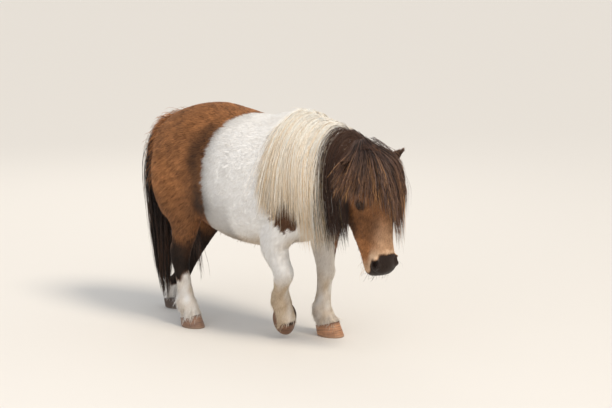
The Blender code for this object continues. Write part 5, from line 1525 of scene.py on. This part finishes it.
# %% Ear cups
EAR_LENGTH, EAR_WIDE, EAR_DEPTH, EAR_THICK = 0.100, 0.0265, 0.64, 0.0020
EAR_AT = (0.058, -0.052, 0.082)
EAR_POINTS = {"left": (0.25, 0.80, 0.56), "right": (0.10, -0.86, 0.42)}
EAR_SHAPE = [  # share of the length, half width, half depth, half the gap in front in degrees
    (-0.16, 0.50, 0.50, 4), (0.0, 0.74, 0.74, 6), (0.18, 0.98, 0.90, 30), (0.40, 1.0, 0.80, 66),
    (0.62, 0.80, 0.56, 80), (0.82, 0.46, 0.32, 86), (0.94, 0.22, 0.18, 88), (1.0, 0.05, 0.06, 89),
]


def ear(side, rows=36, around=40):
    """C shaped sections: the outside from one rim round the back to the other, the inside back again."""
    mirror = -1 if side == "left" else 1
    root = from_head((EAR_AT[0], EAR_AT[1], mirror * EAR_AT[2]))
    lean = unit(np.array(EAR_POINTS[side]))
    opening = from_head((0.25, 1.0, 0.30 * mirror)) - POLL
    opening = unit(opening - lean * (opening @ lean))
    across = np.cross(lean, opening)
    k, wide, deep, gap = (column[:, None] for column in smooth_rows(EAR_SHAPE, rows).T)
    half = np.linspace(-1, 1, around // 2)[None]
    most = np.pi - np.radians(np.clip(gap, 2, 89))
    turn = np.concatenate([half * most, half[:, ::-1] * most], axis=1)
    inner = np.concatenate([np.zeros((1, around // 2)), np.ones((1, around // 2))], axis=1)
    thin = EAR_THICK * inner * ramp(k, 1.0, 0.85)
    w, d = wide * EAR_WIDE - thin, deep * EAR_WIDE * EAR_DEPTH - thin
    ripple = 0.0006 * np.sin(turn * 5) * inner * ramp(k, 0.1, 0.3)
    tip_in = 0.10 * ramp(k, 0.55, 1.0) * EAR_WIDE
    points = (root + (k * EAR_LENGTH)[..., None] * lean + ((w + ripple) * np.sin(turn))[..., None] * across
              + (-(d + ripple) * np.cos(turn) + tip_in)[..., None] * opening)
    faces = grid_faces(rows, around)
    piece = mesh_piece("ear_cup_" + side, points, faces, pelt)
    flat = points.reshape(-1, 3)
    inside = np.broadcast_to(inner, (rows, around)).ravel()
    low = np.broadcast_to(ramp(k, 0.35, 0.0), (rows, around)).ravel()
    # painted shade: the inside of the cup is darker than the outside, as in its hollow
    dark = np.clip(0.80 + 0.12 * inside - 0.15 * low, 0, 1)
    put_values(piece, "marks", np.stack([np.ones(len(flat)), dark, np.zeros(len(flat))], -1))
    put_values(piece, "hair", np.stack([np.full(len(flat), 0.4), np.full(len(flat), 0.3), inside * 0.4], -1))
    put_values(piece, "mealy_and_lit_face", np.zeros(len(flat)))
    kept(piece, "coat_ears", "ear_" + side)
    return points, lean, opening, across


def ear_hair(side, count=700):
    """Short hairs up the outside, and longer ones that cross the mouth of the cup."""
    points, lean, opening, across = ear(side)
    rows, around = points.shape[:2]
    outer = around // 2
    i, j = draw.uniform(1, rows - 2, count), draw.uniform(0, outer - 1.01, count)
    a, b = i.astype(int), j.astype(int)
    s, t = (i - a)[:, None], (j - b)[:, None]
    root = (1 - s) * (1 - t) * points[a, b] + s * (1 - t) * points[a + 1, b] + (1 - s) * t * points[a, b + 1] + s * t * points[a + 1, b + 1]
    middle = points[a].mean(1)
    out = unit(root - middle)
    rim = np.abs(j / (outer - 1) * 2 - 1) > 0.86
    low = rim & (i < rows * 0.75)
    q = np.linspace(0, 1, 5)[None, :, None]
    size = np.where(low, 0.020, 0.009)[:, None, None] * draw.uniform(0.6, 1.3, (count, 1, 1))
    inwards = unit(middle - root) * 0.7 + opening * 0.45
    way = np.where(low[:, None], lean * 0.6 + inwards, lean + out * 0.16)
    way = way + draw.normal(0, 0.12, (count, 3))
    paths = root[:, None] + size * (way[:, None] * q)
    vary = np.clip(0.45 + 0.2 * draw.normal(size=count), 0, 1)
    places = np.stack([0.02 + 0.96 * i / rows, 0.02 + 0.96 * j / outer], -1)
    shade = np.where(low, 0.20, 0.12) * draw.uniform(0.5, 1.3, count)
    return kept(wands("ear_hair_" + side, paths, np.repeat(out[:, None], 5, 1), draw.uniform(0.0009, 0.0017, count),
                      vary, np.clip(shade, 0, 1), places, forelock_hair), "coat_ears")


for side in ("left", "right"):
    ear_hair(side)

# %% [markdown]
# ## Hooves
# The wall of a hoof is horn that grows down from the hair line, so it shows fine rings that follow
# the hair line and finer streaks that run down. These hooves are unpainted and dusty: tan to
# reddish brown, and darker where they meet the hair. The sole is hollow, with the frog as a wedge.

# %% Hoof shapes
HOOF_LONG, HOOF_WIDE, TOE_HIGH, HEEL_HIGH = 0.112, 0.096, 0.064, 0.040
HOOVES = {  # middle of the sole, heading, size, darker and lighter horn
    "foreleg_left": ((0.100, 0.120, 0.0), 0.0, 1.0, "#5A3A26", "#D49B71"),
    "hindleg_right": ((-0.458, -0.125, 0.0), -2.0, 0.90, "#4E372A", "#A98268"),
    "hindleg_left": ((-0.764, 0.096, 0.0), 4.0, 0.90, "#33261F", "#6F5A4B"),
    "foreleg_right": ((-0.010, -0.048, 0.112), -32.0, 1.0, "#3A2416", "#94684A"),
}
LIFTED_DROP = 62.0  # how far the lifted toe drops


def horn(name, dark, light):
    """Rings by the height, streaks by the way round, and a dark band under the hair."""
    material = bpy.data.materials.new("hoof_horn_" + name)
    material.use_nodes = True
    shader = material.node_tree.nodes["Principled BSDF"]
    wall = add(material, "ShaderNodeAttribute", attribute_name="wall").outputs["Vector"]
    turn, height, sole = add(material, "ShaderNodeSeparateXYZ", [(0, wall)]).outputs
    squeezed = add(material, "ShaderNodeVectorMath", [(0, wall)], operation="MULTIPLY")
    squeezed.inputs[1].default_value = (90.0, 1.2, 1.0)
    streaks = add(material, "ShaderNodeTexNoise", [("Vector", squeezed.outputs[0])])
    streaks.inputs["Scale"].default_value = 1.0
    streaks.inputs["Detail"].default_value = 3.0
    level = add(material, "ShaderNodeVectorMath", [(0, wall)], operation="MULTIPLY")
    level.inputs[1].default_value = (2.0, 12.0, 1.0)
    rings = add(material, "ShaderNodeTexNoise", [("Vector", level.outputs[0])])
    rings.inputs["Scale"].default_value = 1.0
    both = add(material, "ShaderNodeMath", [(0, streaks.outputs[0]), (2, rings.outputs[0])],
               operation="MULTIPLY_ADD", in_1=0.35)
    share = add(material, "ShaderNodeMapRange", [(0, both.outputs[0])], in_1=0.42, in_2=0.95)
    base = add(material, "ShaderNodeMix", [(0, share.outputs[0])], data_type="RGBA")
    base.inputs[6].default_value, base.inputs[7].default_value = linear(dark), linear(light)
    band = add(material, "ShaderNodeMapRange", [(0, height)], in_1=0.80, in_2=1.0, in_3=0.0, in_4=0.55)
    topped = add(material, "ShaderNodeMix", [(0, band.outputs[0]), (6, base.outputs[2])], data_type="RGBA")
    topped.inputs[7].default_value = linear("#2C1C14")
    dusty = add(material, "ShaderNodeMapRange", [(0, height)], in_1=0.22, in_2=0.0, in_3=0.0, in_4=0.5)
    dust = add(material, "ShaderNodeMix", [(0, dusty.outputs[0]), (6, topped.outputs[2])], data_type="RGBA")
    dust.inputs[7].default_value = linear("#9C8B78")
    material.node_tree.links.new(dust.outputs[2], shader.inputs["Base Color"])
    bump = add(material, "ShaderNodeBump", [("Height", both.outputs[0])])
    bump.inputs["Distance"].default_value = 0.0005
    material.node_tree.links.new(bump.outputs[0], shader.inputs["Normal"])
    shader.inputs["Roughness"].default_value = 0.48
    return material


def hoof(leg, around=96):
    """Outlines blunt at the heel, narrowing upwards, with small ripples; the sole's rings sink inwards."""
    place, heading, size, dark, light = HOOVES[leg]
    angle = np.linspace(0, 2 * np.pi, around, endpoint=False)
    forward, side = np.cos(angle), np.sin(angle)
    soft = np.maximum(forward, -0.55 + 0.35 * (forward + 0.55))
    high = HEEL_HIGH + (TOE_HIGH - HEEL_HIGH) * (soft + 0.71) / 1.71
    cleft = 0.10 * fold(side, 0.22) * (forward < 0)  # between the bulbs of the heel
    rings, heights = [], []
    for scale, sink in ((0.05, 0.004), (0.30, 0.0045), (0.55, 0.004), (0.78, 0.003), (0.90, 0.0012), (0.93, 0.0)):
        frog = 0.0035 * fold(side * scale, 0.16) * ramp(forward * scale, 0.35, -0.2) if leg == "foreleg_right" else 0
        z = np.full(around, sink) - frog * (scale < 0.9)
        rings.append(np.stack([HOOF_LONG / 1.71 * scale * (soft - 0.145), HOOF_WIDE / 2 * scale * side, np.maximum(z, 0.0)], -1))
        heights.append(np.full(around, -0.1))
    for t in np.concatenate([[0.0], np.linspace(0.05, 1, 30), [1.02, 1.0]]):
        scale = np.interp(t, [0, 0.06, 0.5, 0.92, 1.0, 1.02], [0.955, 1.0, 0.945, 0.886, 0.880, 0.80])
        scale = scale + 0.0035 * np.sin(t * 60) * (0.1 < t < 0.95) - cleft * t
        x = HOOF_LONG / 1.71 * scale * (soft - 0.145) - 0.020 * t
        rings.append(np.stack([x, HOOF_WIDE / 2 * scale * side, high * min(t, 1.0)], -1))
        heights.append(np.full(around, min(t, 1.0)))
    for scale in (0.5, 0.02):
        rings.append(rings[-1] * 1.0)
        rings[-1] = rings[-2].mean(0) + (rings[-2] - rings[-2].mean(0)) * scale
        heights.append(np.ones(around))
    rings = np.array(rings) * size
    if leg == "foreleg_right":
        top = hoof_top_middle() * size
        turn = Matrix.Rotation(math.radians(heading), 3, "Z") @ Matrix.Rotation(math.radians(LIFTED_DROP), 3, "Y")
        points = (rings - top) @ np.array(turn).T + place
    else:
        points = rings @ np.array(Matrix.Rotation(math.radians(heading), 3, "Z")).T + place
    piece = mesh_piece("hoof_horn_" + leg, points, grid_faces(len(rings), around), horn(leg, dark, light))
    turns = np.stack([np.abs((angle / np.pi + 1) % 2 - 1)] * len(rings))
    put_values(piece, "wall", np.stack([turns, np.array(heights), 0 * turns], -1).reshape(-1, 3))
    return kept(piece, "horn", "hoof_" + leg)


def hoof_top_middle():
    """The middle of the hair line of the coarser hoof that the solid was made from."""
    angle = np.linspace(0, 2 * np.pi, 22, endpoint=False)
    forward = np.cos(angle)
    soft = np.where(forward < -0.55, -0.55 + 0.35 * (forward + 0.55), forward)
    high = HEEL_HIGH + (TOE_HIGH - HEEL_HIGH) * (soft + 0.71) / 1.71
    return np.array([(HOOF_LONG / 1.71 * 0.880 * (soft - 0.145) - 0.020).mean(), 0.0, high.mean()])


for leg in HOOVES:
    hoof(leg)

# %% [markdown]
# ## The last step
# The skin stands for every node of flesh.

# %% Finish
kept(skin, "coat_body", "torso", "neck", "head", "foreleg_left", "foreleg_right", "hindleg_left", "hindleg_right")
